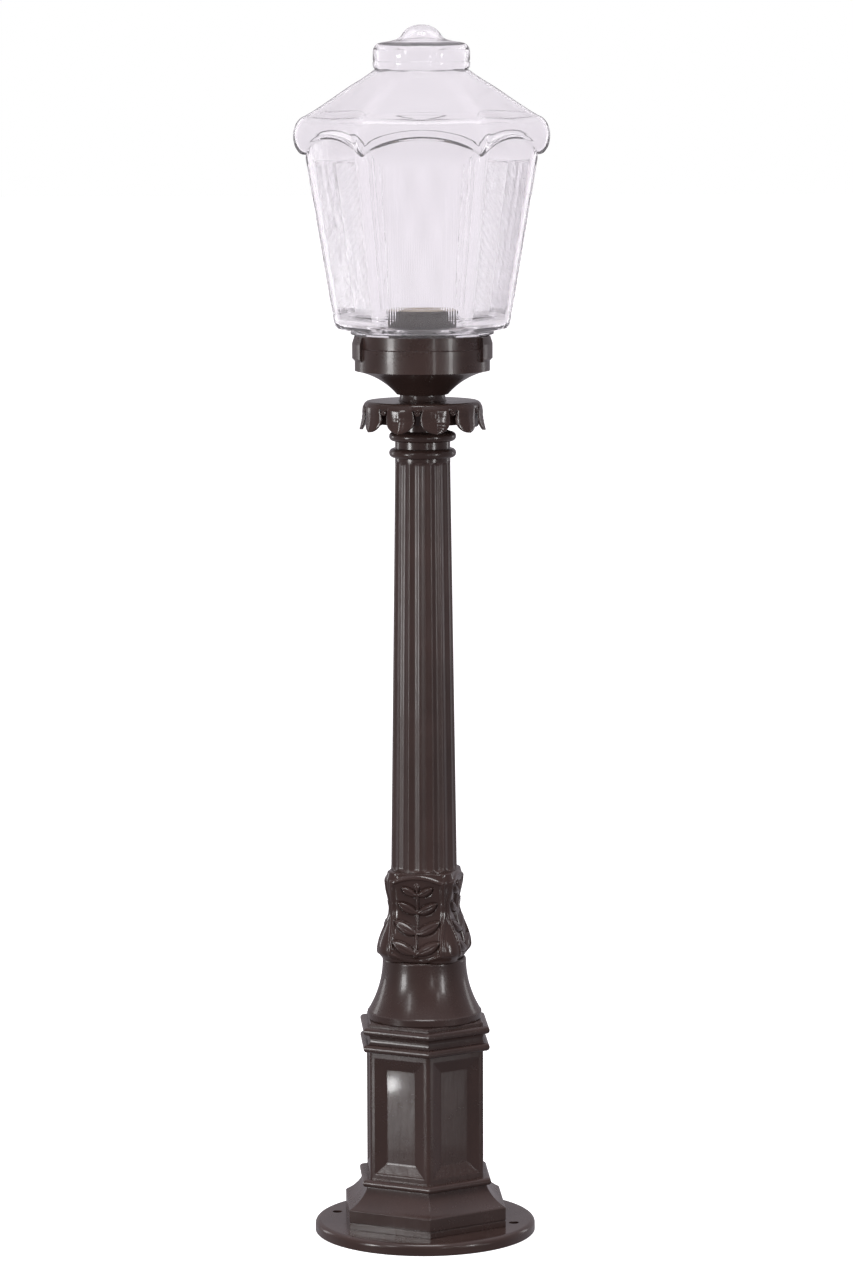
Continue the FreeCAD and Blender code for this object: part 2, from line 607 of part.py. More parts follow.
# ---- globe ------------------------------------------------------------------------------------
def globe():
    """Six-sided globe in one moulding: skirt with lugs, flange, tapered body, arched eave and roof."""
    wall = GLOBE_WALL
    bottom = apothem(BODY_BOTTOM_CORNER_R)
    eave_in = apothem(EAVE_BOTTOM_CORNER_R)
    eave_out = apothem(EAVE_CORNER_R)
    roof_in = apothem(ROOF_BOTTOM_CORNER_R)
    roof_top = apothem(ROOF_TOP_CORNER_R)
    outside = hexagonal([
        (0, FLANGE_TOP), (bottom - 7.5, FLANGE_TOP), (bottom - 1.9, FLANGE_TOP + 1.8, bottom, BODY_BOTTOM),
        (eave_in, EAVE_BOTTOM), (eave_out, EAVE_Z, roof_in, ROOF_BOTTOM), (roof_top, ROOF_TOP),
        (0, ROOF_TOP)], 0.0)
    cap = turned([
        (0, ROOF_TOP - 6.0), (40.0, ROOF_TOP - 6.0), (CAP_R + 0.6, ROOF_TOP + 1.0), (CAP_R, ROOF_TOP + 4.0),
        (CAP_R, CAP_SHOULDER_Z), (CAP_R - 2.6, CAP_SHOULDER_Z + 5.2, CAP_R - 8.0, CAP_SHOULDER_Z + 7.6),
        (20.6, CAP_DOME_Z), (FINIAL_R + 0.4, FINIAL_BASE_Z - 1.0), (FINIAL_R, FINIAL_BASE_Z),
        dome(FINIAL_R, FINIAL_BASE_Z, TOTAL_HEIGHT)])
    skirt = tube(GLOBE_NECK_R, GLOBE_NECK_R - wall, GLOBE_NECK_BOTTOM, FLANGE_TOP + 1.0)
    flange = turned([
        (GLOBE_NECK_R - wall, FLANGE_BOTTOM), (FLANGE_R - 0.8, FLANGE_BOTTOM),
        (FLANGE_R, FLANGE_BOTTOM + 1.2, FLANGE_R - 1.0, FLANGE_TOP), (GLOBE_NECK_R - wall, FLANGE_TOP)])
    lugs = []
    for half_turn in (0.0, 180.0):
        start = LUG_BEARING - LUG_WIDTH / 2 + half_turn
        lugs.append(sector(LUG_R, GLOBE_NECK_R - 1.0, LUG_BOTTOM, LUG_TOP, start, start + LUG_WIDTH))
    outside = outside.cut(Part.makeCompound(eave_arches(0.0)))
    body = fuse_all([outside, cap, skirt, flange] + lugs + corner_beads())

    eave_space = hexagonal([
        (0, EAVE_BOTTOM - 0.01), (eave_in - wall, EAVE_BOTTOM - 0.01),
        (eave_out - wall, EAVE_Z, roof_in - wall, ROOF_BOTTOM - 1.6), (roof_top - 1.6, ROOF_TOP - 2.2),
        (0, ROOF_TOP - 2.2)], 0.0)
    eave_space = eave_space.cut(Part.makeCompound(eave_arches(wall)))
    cap_space = turned([
        (0, ROOF_TOP - 4.5), (roof_top - 2.2, ROOF_TOP - 4.5), (CAP_R - wall, ROOF_TOP + 3.0),
        (CAP_R - wall, CAP_SHOULDER_Z), (CAP_R - 8.0, CAP_SHOULDER_Z + 4.6), (0, CAP_SHOULDER_Z + 7.0)])
    mouth = cylinder(GLOBE_NECK_R - wall, GLOBE_NECK_BOTTOM - 1, FLANGE_TOP + wall + 1.0)
    slope = (eave_in - bottom) / (EAVE_BOTTOM - BODY_BOTTOM)
    floor_z = FLANGE_TOP + wall
    body_space = hexagonal([
        (0, floor_z), (bottom - slope * (BODY_BOTTOM - floor_z) - wall, floor_z), (eave_in - wall, EAVE_BOTTOM),
        (0, EAVE_BOTTOM)], 0.0)
    spaces = fuse_all([eave_space, body_space, cap_space, mouth])
    return body.cut(spaces)


def corner_beads():
    """Rounded posts up the six vertices of the body."""
    beads = []
    sink = POST_BEAD_R * 0.55
    low = V(BODY_BOTTOM_CORNER_R - sink, 0, BODY_BOTTOM - 1.0)
    high = V(EAVE_BOTTOM_CORNER_R - sink, 0, EAVE_BOTTOM + 3.0)
    along = high.sub(low)
    bead = Part.makeCylinder(POST_BEAD_R * 0.75, along.Length, low, along)
    for k in range(6):
        beads.append(turn(bead, 60.0 * k))
    return beads


def eave_arches(inset):
    """Tools that carry each flat panel up under the eave to an arched top."""
    rise_per_z = apothem(EAVE_BOTTOM_CORNER_R - BODY_BOTTOM_CORNER_R) / (EAVE_BOTTOM - BODY_BOTTOM)
    half = EAVE_BOTTOM_CORNER_R / 2 - 0.5
    low = ARCH_END_Z - EAVE_BOTTOM
    left = V(0, -half, low)
    right = V(0, half, low)
    arch = Part.Arc(left, V(0, 0, low + ARCH_RISE), right).toShape()
    skirt = Part.makePolygon([right, V(0, half, -1.0), V(0, -half, -1.0), left])
    tool = Part.Face(Part.Wire([arch] + skirt.Edges)).extrude(V(30.0 + inset, 0, 0))
    tool.rotate(ORIGIN, V(0, 1, 0), math.degrees(math.atan(rise_per_z)))
    tool.translate(V(apothem(EAVE_BOTTOM_CORNER_R) - inset, 0, EAVE_BOTTOM))
    return [turn(tool, 30.0 + 60.0 * k) for k in range(6)]


def globe_seal():
    ring = tube(GLOBE_NECK_R + 0.6, GLOBE_NECK_R - 4.2, SHELF_TOP + 0.1, GLOBE_NECK_BOTTOM - 0.1)
    rims = [edge for edge in ring.Edges if abs(edge.BoundBox.ZMin - GLOBE_NECK_BOTTOM + 0.1) < 0.01
            and edge.BoundBox.ZLength < 0.01]
    return ring.makeFillet(0.6, rims)


# ---- lampholder -------------------------------------------------------------------------------
def lampholder_bridge():
    half = BRIDGE_BOSS_Y + 6.0
    strap = box(-BRIDGE_WIDTH / 2, BRIDGE_WIDTH / 2, -half, half, BRIDGE_BOTTOM, BRIDGE_TOP)
    corners = [edge for edge in strap.Edges if edge.BoundBox.ZLength > 0.9 * BRIDGE_THICK]
    strap = strap.makeFillet(5.0, corners)
    holes = [cylinder(2.2, BRIDGE_BOTTOM - 1, BRIDGE_TOP + 1, 0, y) for y in (-BRIDGE_BOSS_Y, BRIDGE_BOSS_Y)]
    holes += holder_holes(2.05, BRIDGE_BOTTOM - 1, BRIDGE_TOP + 1)
    return strap.cut(Part.makeCompound(holes))


def holder_holes(screw_r, z0, z1):
    """Two screw holes and two lead holes that line up through bridge, cup and porcelain."""
    screws = [cylinder(screw_r, z0, z1, 0, y) for y in (-HOLDER_SCREW_Y, HOLDER_SCREW_Y)]
    leads = [cylinder(2.5, z0, z1, x, 0) for x in (-LEAD_HOLE_X, LEAD_HOLE_X)]
    return screws + leads


def lampholder_cup():
    """Spun steel cup that hides the porcelain and carries it on the bridge."""
    wall = CUP_WALL
    shoulder = CUP_TOP - 5.0
    cup = turned([
        (0, BRIDGE_TOP), (CUP_R - 2.0, BRIDGE_TOP), (CUP_R - 0.6, BRIDGE_TOP + 0.6, CUP_R, BRIDGE_TOP + 2.0),
        (CUP_R, shoulder), (CUP_R - 1.3, CUP_TOP - 1.4, CUP_THROAT_R, CUP_TOP),
        (CUP_THROAT_R, CUP_TOP - wall), (CUP_R - wall - 1.0, CUP_TOP - wall - 1.6, CUP_R - wall, shoulder),
        (CUP_R - wall, CUP_FLOOR_TOP), (0, CUP_FLOOR_TOP)])
    return cup.cut(Part.makeCompound(holder_holes(2.2, BRIDGE_TOP - 1, CUP_FLOOR_TOP + 1)))


def lampholder_body():
    """Porcelain of the E27 lampholder."""
    r = PORCELAIN_R
    body = turned([
        (0, CUP_FLOOR_TOP), (r, CUP_FLOOR_TOP), (r, PORCELAIN_TOP - 2.2),
        (r - 0.7, PORCELAIN_TOP - 0.7, r - 2.2, PORCELAIN_TOP), (SHELL_R + 2.2, PORCELAIN_TOP),
        (SHELL_R + 0.9, PORCELAIN_TOP - 0.6, SHELL_R + 0.1, PORCELAIN_TOP - 2.2),
        (SHELL_R + 0.1, PORCELAIN_FLOOR_TOP), (0, PORCELAIN_FLOOR_TOP)])
    holes = [cylinder(2.2, CUP_FLOOR_TOP - 1, PORCELAIN_FLOOR_TOP + 1, 0, y)
             for y in (-HOLDER_SCREW_Y, HOLDER_SCREW_Y)]
    holes += [cylinder(1.5, CUP_FLOOR_TOP - 1, PORCELAIN_FLOOR_TOP + 1, x, 0)
              for x in (-LEAD_HOLE_X, LEAD_HOLE_X)]
    return body.cut(Part.makeCompound(holes))


def lampholder_shell():
    """Brass screw shell with the tail that takes the neutral lead."""
    shell = turned([(SHELL_BORE_R, SHELL_BOTTOM), (SHELL_R, SHELL_BOTTOM), (SHELL_R, SHELL_TOP - 0.8),
                    (SHELL_R - 0.8, SHELL_TOP), (SHELL_BORE_R, SHELL_TOP)])
    tail = box(SHELL_BORE_R, SHELL_R - 0.5, -2.5, 2.5, PORCELAIN_FLOOR_TOP, SHELL_BOTTOM + 1.0)
    foot = box(LEAD_HOLE_X - 2.6, SHELL_R - 0.5, -2.5, 2.5, PORCELAIN_FLOOR_TOP, PORCELAIN_FLOOR_TOP + 0.8)
    return shell.fuse(tail).fuse(foot)


def lampholder_contact():
    """Sprung centre contact with the tail that takes the live lead."""
    z = PORCELAIN_FLOOR_TOP
    points = [(-LEAD_HOLE_X - 3.5, z), (-LEAD_HOLE_X + 2.5, z), (1.8, z + 6.4), (3.2, z + 6.4),
              (3.2, z + 7.4), (-1.8, z + 7.4), (-LEAD_HOLE_X + 1.6, z + 1.0), (-LEAD_HOLE_X - 3.5, z + 1.0)]
    wire = Part.makePolygon([V(x, -2.5, height) for x, height in points + points[:1]])
    return Part.Face(wire).extrude(V(0, 5.0, 0))


# ---- wiring -----------------------------------------------------------------------------------
def terminal_block():
    block = box(BLOCK_X[0], BLOCK_X[1], -BLOCK_HALF_Y, BLOCK_HALF_Y, BLOCK_Z[0], BLOCK_Z[1])
    block = block.makeFillet(0.8, [edge for edge in block.Edges if edge.BoundBox.ZMin > BLOCK_Z[1] - 0.1])
    cuts = []
    for k in (-1, 0, 1):
        cuts.append(cylinder(2.2, BLOCK_Z[1] - 3.0, BLOCK_Z[1] + 1, MID_BLOCK_X, k * POLE_PITCH))
        cuts.append(cylinder(1.1, BLOCK_Z[1] - 5.0, BLOCK_Z[1], MID_BLOCK_X, k * POLE_PITCH))
    for y in (-BLOCK_FIXING_Y, BLOCK_FIXING_Y):
        cuts.append(cylinder(1.4, BLOCK_Z[0] - 1, BLOCK_Z[1] + 1, MID_BLOCK_X, y))
    for y in (-POLE_PITCH / 2, POLE_PITCH / 2):
        cuts.append(box(BLOCK_X[0] - 1, BLOCK_X[1] + 1, y - 0.3, y + 0.3, BLOCK_Z[1] - 2.0, BLOCK_Z[1] + 1))
    return block.cut(Part.makeCompound(cuts))


def terminal_screws():
    return Part.makeCompound([pan_screw(MID_BLOCK_X, k * POLE_PITCH, BLOCK_Z[1] - 3.0, BLOCK_Z[1] - 4.8,
                                        1.0, 1.9, 2.0) for k in (-1, 0, 1)])


def terminal_fixings():
    return Part.makeCompound([pan_screw(MID_BLOCK_X, y, BLOCK_Z[1], BLOCK_FIXING_TIP, 1.25, 2.2, 1.6)
                              for y in (-BLOCK_FIXING_Y, BLOCK_FIXING_Y)])


def lead(points):
    """A round lead along straight runs joined by tangent arcs of LEAD_BEND_R."""
    edges = []
    start = points[0]
    for before, corner, after in zip(points, points[1:], points[2:]):
        inward = before.sub(corner).normalize()
        outward = after.sub(corner).normalize()
        arc_start = corner.add(V(inward).multiply(LEAD_BEND_R))
        arc_end = corner.add(V(outward).multiply(LEAD_BEND_R))
        centre = arc_start.add(V(outward).multiply(LEAD_BEND_R))
        middle = centre.add(corner.sub(centre).normalize().multiply(LEAD_BEND_R))
        if start.distanceToPoint(arc_start) > 1e-6:
            edges.append(Part.makeLine(start, arc_start))
        edges.append(Part.Arc(arc_start, middle, arc_end).toShape())
        start = arc_end
    if start.distanceToPoint(points[-1]) > 1e-6:
        edges.append(Part.makeLine(start, points[-1]))
    path = Part.Wire(edges)
    section = Part.Wire(Part.makeCircle(LEAD_R, points[0], points[1].sub(points[0])))
    solid = path.makePipeShell([section], True, True)
    print(f"    lead volume {solid.Volume:7.1f} mm3, section x length {math.pi * LEAD_R ** 2 * path.Length:7.1f}")
    return solid


def lead_live():
    return lead([V(BLOCK_X[0], -POLE_PITCH, LEAD_Z), V(-LEAD_HOLE_X, -POLE_PITCH, LEAD_Z),
                 V(-LEAD_HOLE_X, 0, LEAD_Z), V(-LEAD_HOLE_X, 0, PORCELAIN_FLOOR_TOP)])


def lead_neutral():
    return lead([V(BLOCK_X[0], 0, LEAD_Z), V(LEAD_HOLE_X, 0, LEAD_Z),
                 V(LEAD_HOLE_X, 0, PORCELAIN_FLOOR_TOP)])


def lead_earth():
    """Earth lead with its ring terminal."""
    y = POLE_PITCH
    barrel_x = EARTH_X + 8.0
    wire = Part.makeCylinder(LEAD_R, BLOCK_X[0] - barrel_x, V(barrel_x, y, LEAD_Z), V(1, 0, 0))
    barrel = Part.makeCylinder(1.6, 4.5, V(barrel_x - 3.5, y, LEAD_Z), V(1, 0, 0))
    ring = cylinder(4.0, EARTH_BOSS_TOP, EARTH_BOSS_TOP + 1.0, EARTH_X, y)
    tongue = box(EARTH_X, barrel_x, y - 1.5, y + 1.5, EARTH_BOSS_TOP, EARTH_BOSS_TOP + 1.0)
    hole = cylinder(2.1, EARTH_BOSS_TOP - 1, EARTH_BOSS_TOP + 2, EARTH_X, y)
    return wire.multiFuse([barrel, ring, tongue]).cut(hole)


# ---- fasteners --------------------------------------------------------------------------------
def tie_tube():
    return tube(TUBE_R, TUBE_BORE_R, TUBE_BOTTOM, TUBE_TOP)


def inlet_bush():
    """Plastic bush that keeps the supply cable off the end of the tube."""
    return turned([(4.2, 0.8), (8.0, 0.8), (8.0, TUBE_BOTTOM), (TUBE_BORE_R - 0.05, TUBE_BOTTOM),
                   (TUBE_BORE_R - 0.05, 8.0), (4.2, 8.0)])


def washer(z0):
    return tube(WASHER_R, TUBE_R + 0.3, z0, z0 + WASHER_THICK)


def screws(places, seat_z, tip_z, head_r=3.6):
    return Part.makeCompound([pan_screw(x, y, seat_z, tip_z, 2.0, head_r, 2.4) for x, y in places])


os.makedirs("parts", exist_ok=True)
base_nut_top = NUT_RECESS_DEPTH - WASHER_THICK
save("base_plate", base_plate())
save("pedestal", pedestal())
save("bell_collar", bell_collar())
save("leaf_sleeve", leaf_sleeve())
save("fluted_column", fluted_column())
save("capital_ring", capital_ring())
save("leaf_crown", leaf_crown())
save("neck_spacer", neck_spacer())
save("lamp_housing", lamp_housing())
save("globe_seal", globe_seal())
save("globe", globe())
save("tie_tube", tie_tube())
save("inlet_bush", inlet_bush())
save("base_washer", washer(base_nut_top))
save("base_nut", hexagon_nut(NUT_ACROSS_FLATS, base_nut_top - NUT_HEIGHT, base_nut_top, TUBE_R + 0.02))
save("top_washer", washer(BOWL_FLOOR_Z))
save("top_nut", hexagon_nut(NUT_ACROSS_FLATS, BOWL_FLOOR_Z + WASHER_THICK,
                            BOWL_FLOOR_Z + WASHER_THICK + NUT_HEIGHT, TUBE_R + 0.02))
save("lampholder_bridge", lampholder_bridge())
save("bridge_screws", screws([(0, -BRIDGE_BOSS_Y), (0, BRIDGE_BOSS_Y)], BRIDGE_TOP, BRIDGE_SCREW_TIP))
save("lampholder_cup", lampholder_cup())
save("lampholder_body", lampholder_body())
save("lampholder_shell", lampholder_shell())
save("lampholder_contact", lampholder_contact())
save("lampholder_screws", screws([(0, -HOLDER_SCREW_Y), (0, HOLDER_SCREW_Y)], PORCELAIN_FLOOR_TOP,
                                HOLDER_SCREW_TIP, 3.4))
save("terminal_block", terminal_block())
save("terminal_screws", terminal_screws())
save("terminal_fixings", terminal_fixings())
save("lead_live", lead_live())
save("lead_neutral", lead_neutral())
save("lead_earth", lead_earth())
save("earth_screw", screws([(EARTH_X, POLE_PITCH)], EARTH_BOSS_TOP + 1.0, EARTH_SCREW_TIP))
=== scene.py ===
import bmesh
import bpy
import math
from mathutils import Matrix, Vector


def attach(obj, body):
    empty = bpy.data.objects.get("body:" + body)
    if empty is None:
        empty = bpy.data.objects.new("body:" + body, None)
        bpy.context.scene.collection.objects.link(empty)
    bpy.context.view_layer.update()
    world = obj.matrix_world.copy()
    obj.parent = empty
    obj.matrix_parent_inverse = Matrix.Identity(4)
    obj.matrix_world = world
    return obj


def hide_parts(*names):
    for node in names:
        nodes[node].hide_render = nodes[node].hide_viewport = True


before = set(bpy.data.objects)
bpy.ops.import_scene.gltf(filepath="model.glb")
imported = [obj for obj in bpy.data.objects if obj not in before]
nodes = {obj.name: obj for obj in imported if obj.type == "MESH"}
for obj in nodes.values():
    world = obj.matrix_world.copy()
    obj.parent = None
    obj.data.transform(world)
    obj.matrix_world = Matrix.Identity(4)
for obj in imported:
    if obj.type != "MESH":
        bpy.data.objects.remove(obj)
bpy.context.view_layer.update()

MM = 0.001                        # shapes below are worked out in millimetres
FRONT = 270.0                     # bearing of the front, counted from +X


# ---- camera -----------------------------------------------------------------------------------
CAMERA_PLACE = (0.0029, -4.2285, 1.0808)
CAMERA_LENS = 132.2
CAMERA_SENSOR = 36.0
CAMERA_FAR = 50.0
CAMERA_TILT = 7.2                 # degrees below level
CAMERA_ROLL = -0.186


def make_camera():
    """Long lens in front of the lamp, a little above its top and tilted down to its middle."""
    data = bpy.data.cameras.new("camera")
    data.lens = CAMERA_LENS
    data.sensor_width = CAMERA_SENSOR
    data.clip_end = CAMERA_FAR
    cam = bpy.data.objects.new("camera", data)
    bpy.context.scene.collection.objects.link(cam)
    tilt = Matrix.Rotation(math.radians(90.0 - CAMERA_TILT), 4, "X")
    roll = Matrix.Rotation(math.radians(CAMERA_ROLL), 4, "Z")
    cam.matrix_world = Matrix.Translation(CAMERA_PLACE) @ tilt @ roll
    bpy.context.scene.camera = cam


# ---- mesh building ----------------------------------------------------------------------------
WELD_GAP = 2e-6                   # metres: points nearer than this become one


def add_object(name, mesh):
    obj = bpy.data.objects.new(name, mesh)
    bpy.context.scene.collection.objects.link(obj)
    return obj


def join_rings(bm, rings, closed):
    """Adds rings of points and a band of faces between neighbours; closed joins last to first."""
    rows = [[bm.verts.new((x * MM, y * MM, z * MM)) for x, y, z in ring] for ring in rings]
    count = len(rows[0])
    for low, high in zip(rows, rows[1:] + rows[:1] if closed else rows[1:]):
        for j in range(count):
            k = (j + 1) % count
            bm.faces.new((low[j], low[k], high[k], high[j]))
    return rows


def ring_mesh(name, rings, crease):
    """Closed solid from rings of points. Edges sharper than crease degrees stay crisp."""
    bm = bmesh.new()
    join_rings(bm, rings, True)
    bmesh.ops.remove_doubles(bm, verts=bm.verts, dist=WELD_GAP)
    bmesh.ops.dissolve_degenerate(bm, dist=0.5 * WELD_GAP, edges=bm.edges)
    bmesh.ops.recalc_face_normals(bm, faces=bm.faces)
    mesh = bpy.data.meshes.new(name)
    bm.to_mesh(mesh)
    bm.free()
    mesh.shade_smooth()
    mesh.set_sharp_from_angle(angle=math.radians(crease))
    return add_object(name, mesh)


def smooth_step(x, low, high):
    t = min(1.0, max(0.0, (x - low) / (high - low)))
    return t * t * (3.0 - 2.0 * t)


def mix(a, b, t):
    return a + (b - a) * t


def bell_curve(t, middle, width):
    return math.exp(-((t - middle) / width) ** 2)


def polar(radius, bearing, z):
    a = math.radians(bearing)
    return radius * math.cos(a), radius * math.sin(a), z


# ---- globe ------------------------------------------------------------------------------------
BODY_Z = (832.5, 985.0)
BODY_CORNER_R = (79.7, 105.0)     # of the six-sided body's corners, at its foot and its head
COS30 = math.cos(math.radians(30.0))
TAN30 = math.tan(math.radians(30.0))
WALL = 3.0
RIB_PITCH = 2.2
RIB_HALF = 43.0                   # ribs reach this far from the middle of a panel, at its top
RIB_DEPTH = 0.30
RIB_Z = (834.8, 984.0)
RIB_ROWS = 34
POST_SHARE = 0.205                # share of the half panel taken by the plain strip at a corner
POST_PROUD = 0.8                  # how far that strip stands proud
POST_EDGE = 0.035                 # share of the half panel over which it rises
POST_PLACES = (0.14, 0.3, 0.5, 0.68, 0.8, 0.88, 0.94, 0.98)
CORNER_SOFTNESS = (2.2, 3.6)      # of the body's corners, and of the roof's hips
SOFTNESS_Z = (1002.0, 1024.0)     # the first gives way to the second between these
FOOT_BAND = 0.7                   # plain band round the body's foot, fading out between these
FOOT_BAND_Z = (840.5, 842.2)
POST_FADE_Z = (840.5, 845.0)      # the corner strips start between these
FOOT_CURVE = (0.0, 0.12, 0.3, 0.5, 0.7, 0.85, 1.0)    # shares of the quarter turn above the flange
FOOT_R = 69.0
FOOT_Z = (827.3, 833.5)
BODY_LEVELS = (
    836.0, 840.5, 841.3, 842.2, 850.0, 865.0, 885.0, 905.0, 925.0, 945.0, 960.0, 970.0)
PANEL_TOP_Z = 977.0
ARCH_LEVELS = (0.25, 0.5, 0.75, 0.92, 1.0)    # shares of the way from there up to the arch
ARCH_Z = (984.4, 999.0)           # a panel's arch at its corners and at its middle
ARCH_ROUND = 1.9                  # square of the arch's radius, in half panels
EAVE_STEPS = 16
EAVE_END = 0.42                   # half turns: the eave's section starts at -0.5 and ends here
EAVE_NOSE = (101.0, 99.8)         # apothem at the corners and at the middle of a side
EAVE_TOP = 88.2
EAVE_TOP_Z = (1017.6, 1019.4)     # at the middle of a side and at its corners
EAVE_FULLNESS = 0.8
EAVE_LIP = 0.25                   # moulded line along the arch: a ridge, then a groove above it
LIP_RIDGE = (0.10, 0.045)         # place and width, as shares of the eave's section
LIP_GROOVE = (0.24, 0.05)
ROOF_OUTSIDE = ((89.6, 41.6), (1021.0, 1060.6))    # apothem and height, from the foot to the cap
ROOF_INSIDE = ((86.6, 38.6), (1019.6, 1058.2))
ROOF_SAG = 1.2
ROOF_ROUND = (0.55, 1.05)         # the roof turns from six-sided to round between these shares
ROOF_FOOT_Z = (1.012, 1.050)      # metres: the eave runs softly into the roof here
GLOBE_CREASE = 28.0               # degrees

# Round parts as (radius, z): flange and skirt, cap and dome, and the inside of each.
FLANGE_OUTSIDE = (
    (51.0, 805.1), (51.6, 805.1), (53.4, 805.1), (54.0, 805.7), (54.0, 814.0), (54.0, 822.6),
    (54.9, 823.9), (62.8, 823.9), (64.2, 824.3), (64.8, 825.3), (64.3, 826.5), (63.0, 826.9),
    (62.0, 827.0))
CAP_OUTSIDE = (
    (43.0, 1062.4), (43.5, 1064.4), (43.5, 1066.6), (43.0, 1067.4), (43.0, 1068.2), (43.4, 1069.0),
    (43.4, 1076.0), (42.8, 1079.2), (41.0, 1081.9), (38.2, 1083.7), (34.6, 1084.5), (29.0, 1085.3),
    (23.4, 1086.6), (20.0, 1088.2), (17.8, 1090.4), (16.2, 1093.0), (13.9, 1095.6), (10.6, 1097.8),
    (6.6, 1099.3), (2.6, 1099.95), (0.0, 1100.0))
CAP_INSIDE = (
    (0.0, 1094.6), (4.0, 1094.4), (9.0, 1092.6), (12.6, 1089.0), (15.6, 1085.6), (22.0, 1082.9),
    (33.0, 1081.4), (37.4, 1080.2), (39.9, 1077.2), (40.4, 1074.0), (40.4, 1064.0))
FOOT_INSIDE_R = (66.0, 58.0)
FOOT_INSIDE_Z = (834.0, 830.0)
FLANGE_INSIDE = ((52.6, 830.0), (51.4, 829.4), (51.0, 828.0), (51.0, 816.0))


def body_corner(z):
    slope = (BODY_CORNER_R[1] - BODY_CORNER_R[0]) / (BODY_Z[1] - BODY_Z[0])
    return BODY_CORNER_R[0] + slope * (z - BODY_Z[0])


def panel_columns():
    """Places across one panel from -1 to 1: close together over the ribs and at the corners."""
    inner = 1.0 - POST_SHARE
    ribs = round(2.0 * RIB_HALF / RIB_PITCH)
    columns = [-inner + inner * k / ribs for k in range(2 * ribs + 1)]
    edge = [inner + POST_SHARE * t for t in POST_PLACES]
    return [-u for u in reversed(edge)] + columns + edge


def hex_radius(apothem, angle, z):
    """Distance to a hexagon's side at this angle from the side's middle, with a soft corner."""
    soft = mix(*CORNER_SOFTNESS, smooth_step(z, *SOFTNESS_Z))
    near = apothem / math.cos(math.radians(angle)) - apothem
    far = apothem / math.cos(math.radians(60.0 - abs(angle))) - apothem
    return apothem - soft * math.log(math.exp(-near / soft) + math.exp(-far / soft))


def panel_ring(shape):
    """One ring of points. shape(u) gives (apothem, roundness, z) at place u across a panel."""
    ring = []
    for side in range(6):
        for u in panel_columns():
            apothem, roundness, z = shape(u)
            angle = math.degrees(math.atan(u * TAN30))
            radius = mix(hex_radius(apothem, angle, z), apothem, roundness)
            bearing = FRONT + 60.0 * side + mix(angle, 30.0 * u, roundness)
            ring.append(polar(radius, bearing, z))
    return ring


def round_rings(profile):
    """Round levels with the same number of points as the panels' rings."""
    return [panel_ring(lambda u: (radius, 1.0, z)) for radius, z in profile]


def arch_share(u):
    """1 in the middle of a panel and 0 at its corners, on a circular arc."""
    end = math.sqrt(1.0 - 1.0 / ARCH_ROUND)
    return (math.sqrt(max(0.0, 1.0 - u * u / ARCH_ROUND)) - end) / (1.0 - end)


def post_relief(u):
    """The plain strips beside each corner stand proud of the ribbed panel."""
    edge = 1.0 - POST_SHARE
    return POST_PROUD * smooth_step(abs(u), edge, edge + POST_EDGE)


def arch_z(u):
    """Height where a panel ends under the eave: it rises as an arch to the middle of the panel."""
    return mix(*ARCH_Z, arch_share(u))


def eave_ring(t, inset):
    """The overhanging eave, from the panel's arch (t = 0) round its nose to the roof (t = 1)."""
    bend = math.pi * mix(-0.5, EAVE_END, t)
    out = max(0.0, math.cos(bend)) ** EAVE_FULLNESS
    rise = math.sin(bend) if bend < 0 else math.sin(bend) / math.sin(math.pi * EAVE_END)
    lip = 0.0 if inset else EAVE_LIP * (bell_curve(t, *LIP_RIDGE) - bell_curve(t, *LIP_GROOVE))

    def shape(u):
        low_z = arch_z(u) + 0.9 * inset
        top_z = mix(*EAVE_TOP_Z, abs(u)) - 0.6 * inset
        nose = mix(*EAVE_NOSE, arch_share(u)) - inset
        base = body_corner(low_z) * COS30 - inset if bend < 0 else EAVE_TOP - inset
        return mix(base, nose, out) + lip, 0.0, mix(low_z, top_z, 0.5 + 0.5 * rise)
    return panel_ring(shape)


def roof_rings(shares, apothems, levels):
    """The roof as it narrows from the eave to the cap, sagging a little."""
    rings = []
    for t in shares:
        apothem = mix(*apothems, t)
        z = mix(*levels, t) - ROOF_SAG * math.sin(math.pi * t)
        rings.append(panel_ring(lambda u: (apothem, smooth_step(t, *ROOF_ROUND), z)))
    return rings


def globe_outside():
    """From the skirt's foot up to the top of the dome."""
    rings = round_rings(FLANGE_OUTSIDE)
    for t in FOOT_CURVE:
        bend = math.radians(90.0 * t)
        apothem = FOOT_R * mix(0.90, 1.0, math.sin(bend)) + 0.5
        z = mix(*FOOT_Z, 1.0 - math.cos(bend))
        rings.append(panel_ring(lambda u: (apothem, 1.0 - smooth_step(t, -0.2, 0.6), z)))
    for z in BODY_LEVELS + (PANEL_TOP_Z,):
        apothem = body_corner(z) * COS30 + FOOT_BAND * (1.0 - smooth_step(z, *FOOT_BAND_Z))
        fade = smooth_step(z, *POST_FADE_Z)
        rings.append(panel_ring(lambda u: (apothem + post_relief(u) * fade, 0.0, z)))
    for t in ARCH_LEVELS:
        def panel_top(u):
            z = mix(PANEL_TOP_Z, arch_z(u), t)
            strip = post_relief(u) * (1.0 - smooth_step(t, 0.6, 1.0))
            return body_corner(z) * COS30 + strip, 0.0, z
        rings.append(panel_ring(panel_top))
    rings += [eave_ring(step / EAVE_STEPS, 0.0) for step in range(1, EAVE_STEPS + 1)]
    rings += roof_rings((0.08, 0.2, 0.35, 0.5, 0.65, 0.8, 0.92, 1.0), *ROOF_OUTSIDE)
    return rings + round_rings(CAP_OUTSIDE)


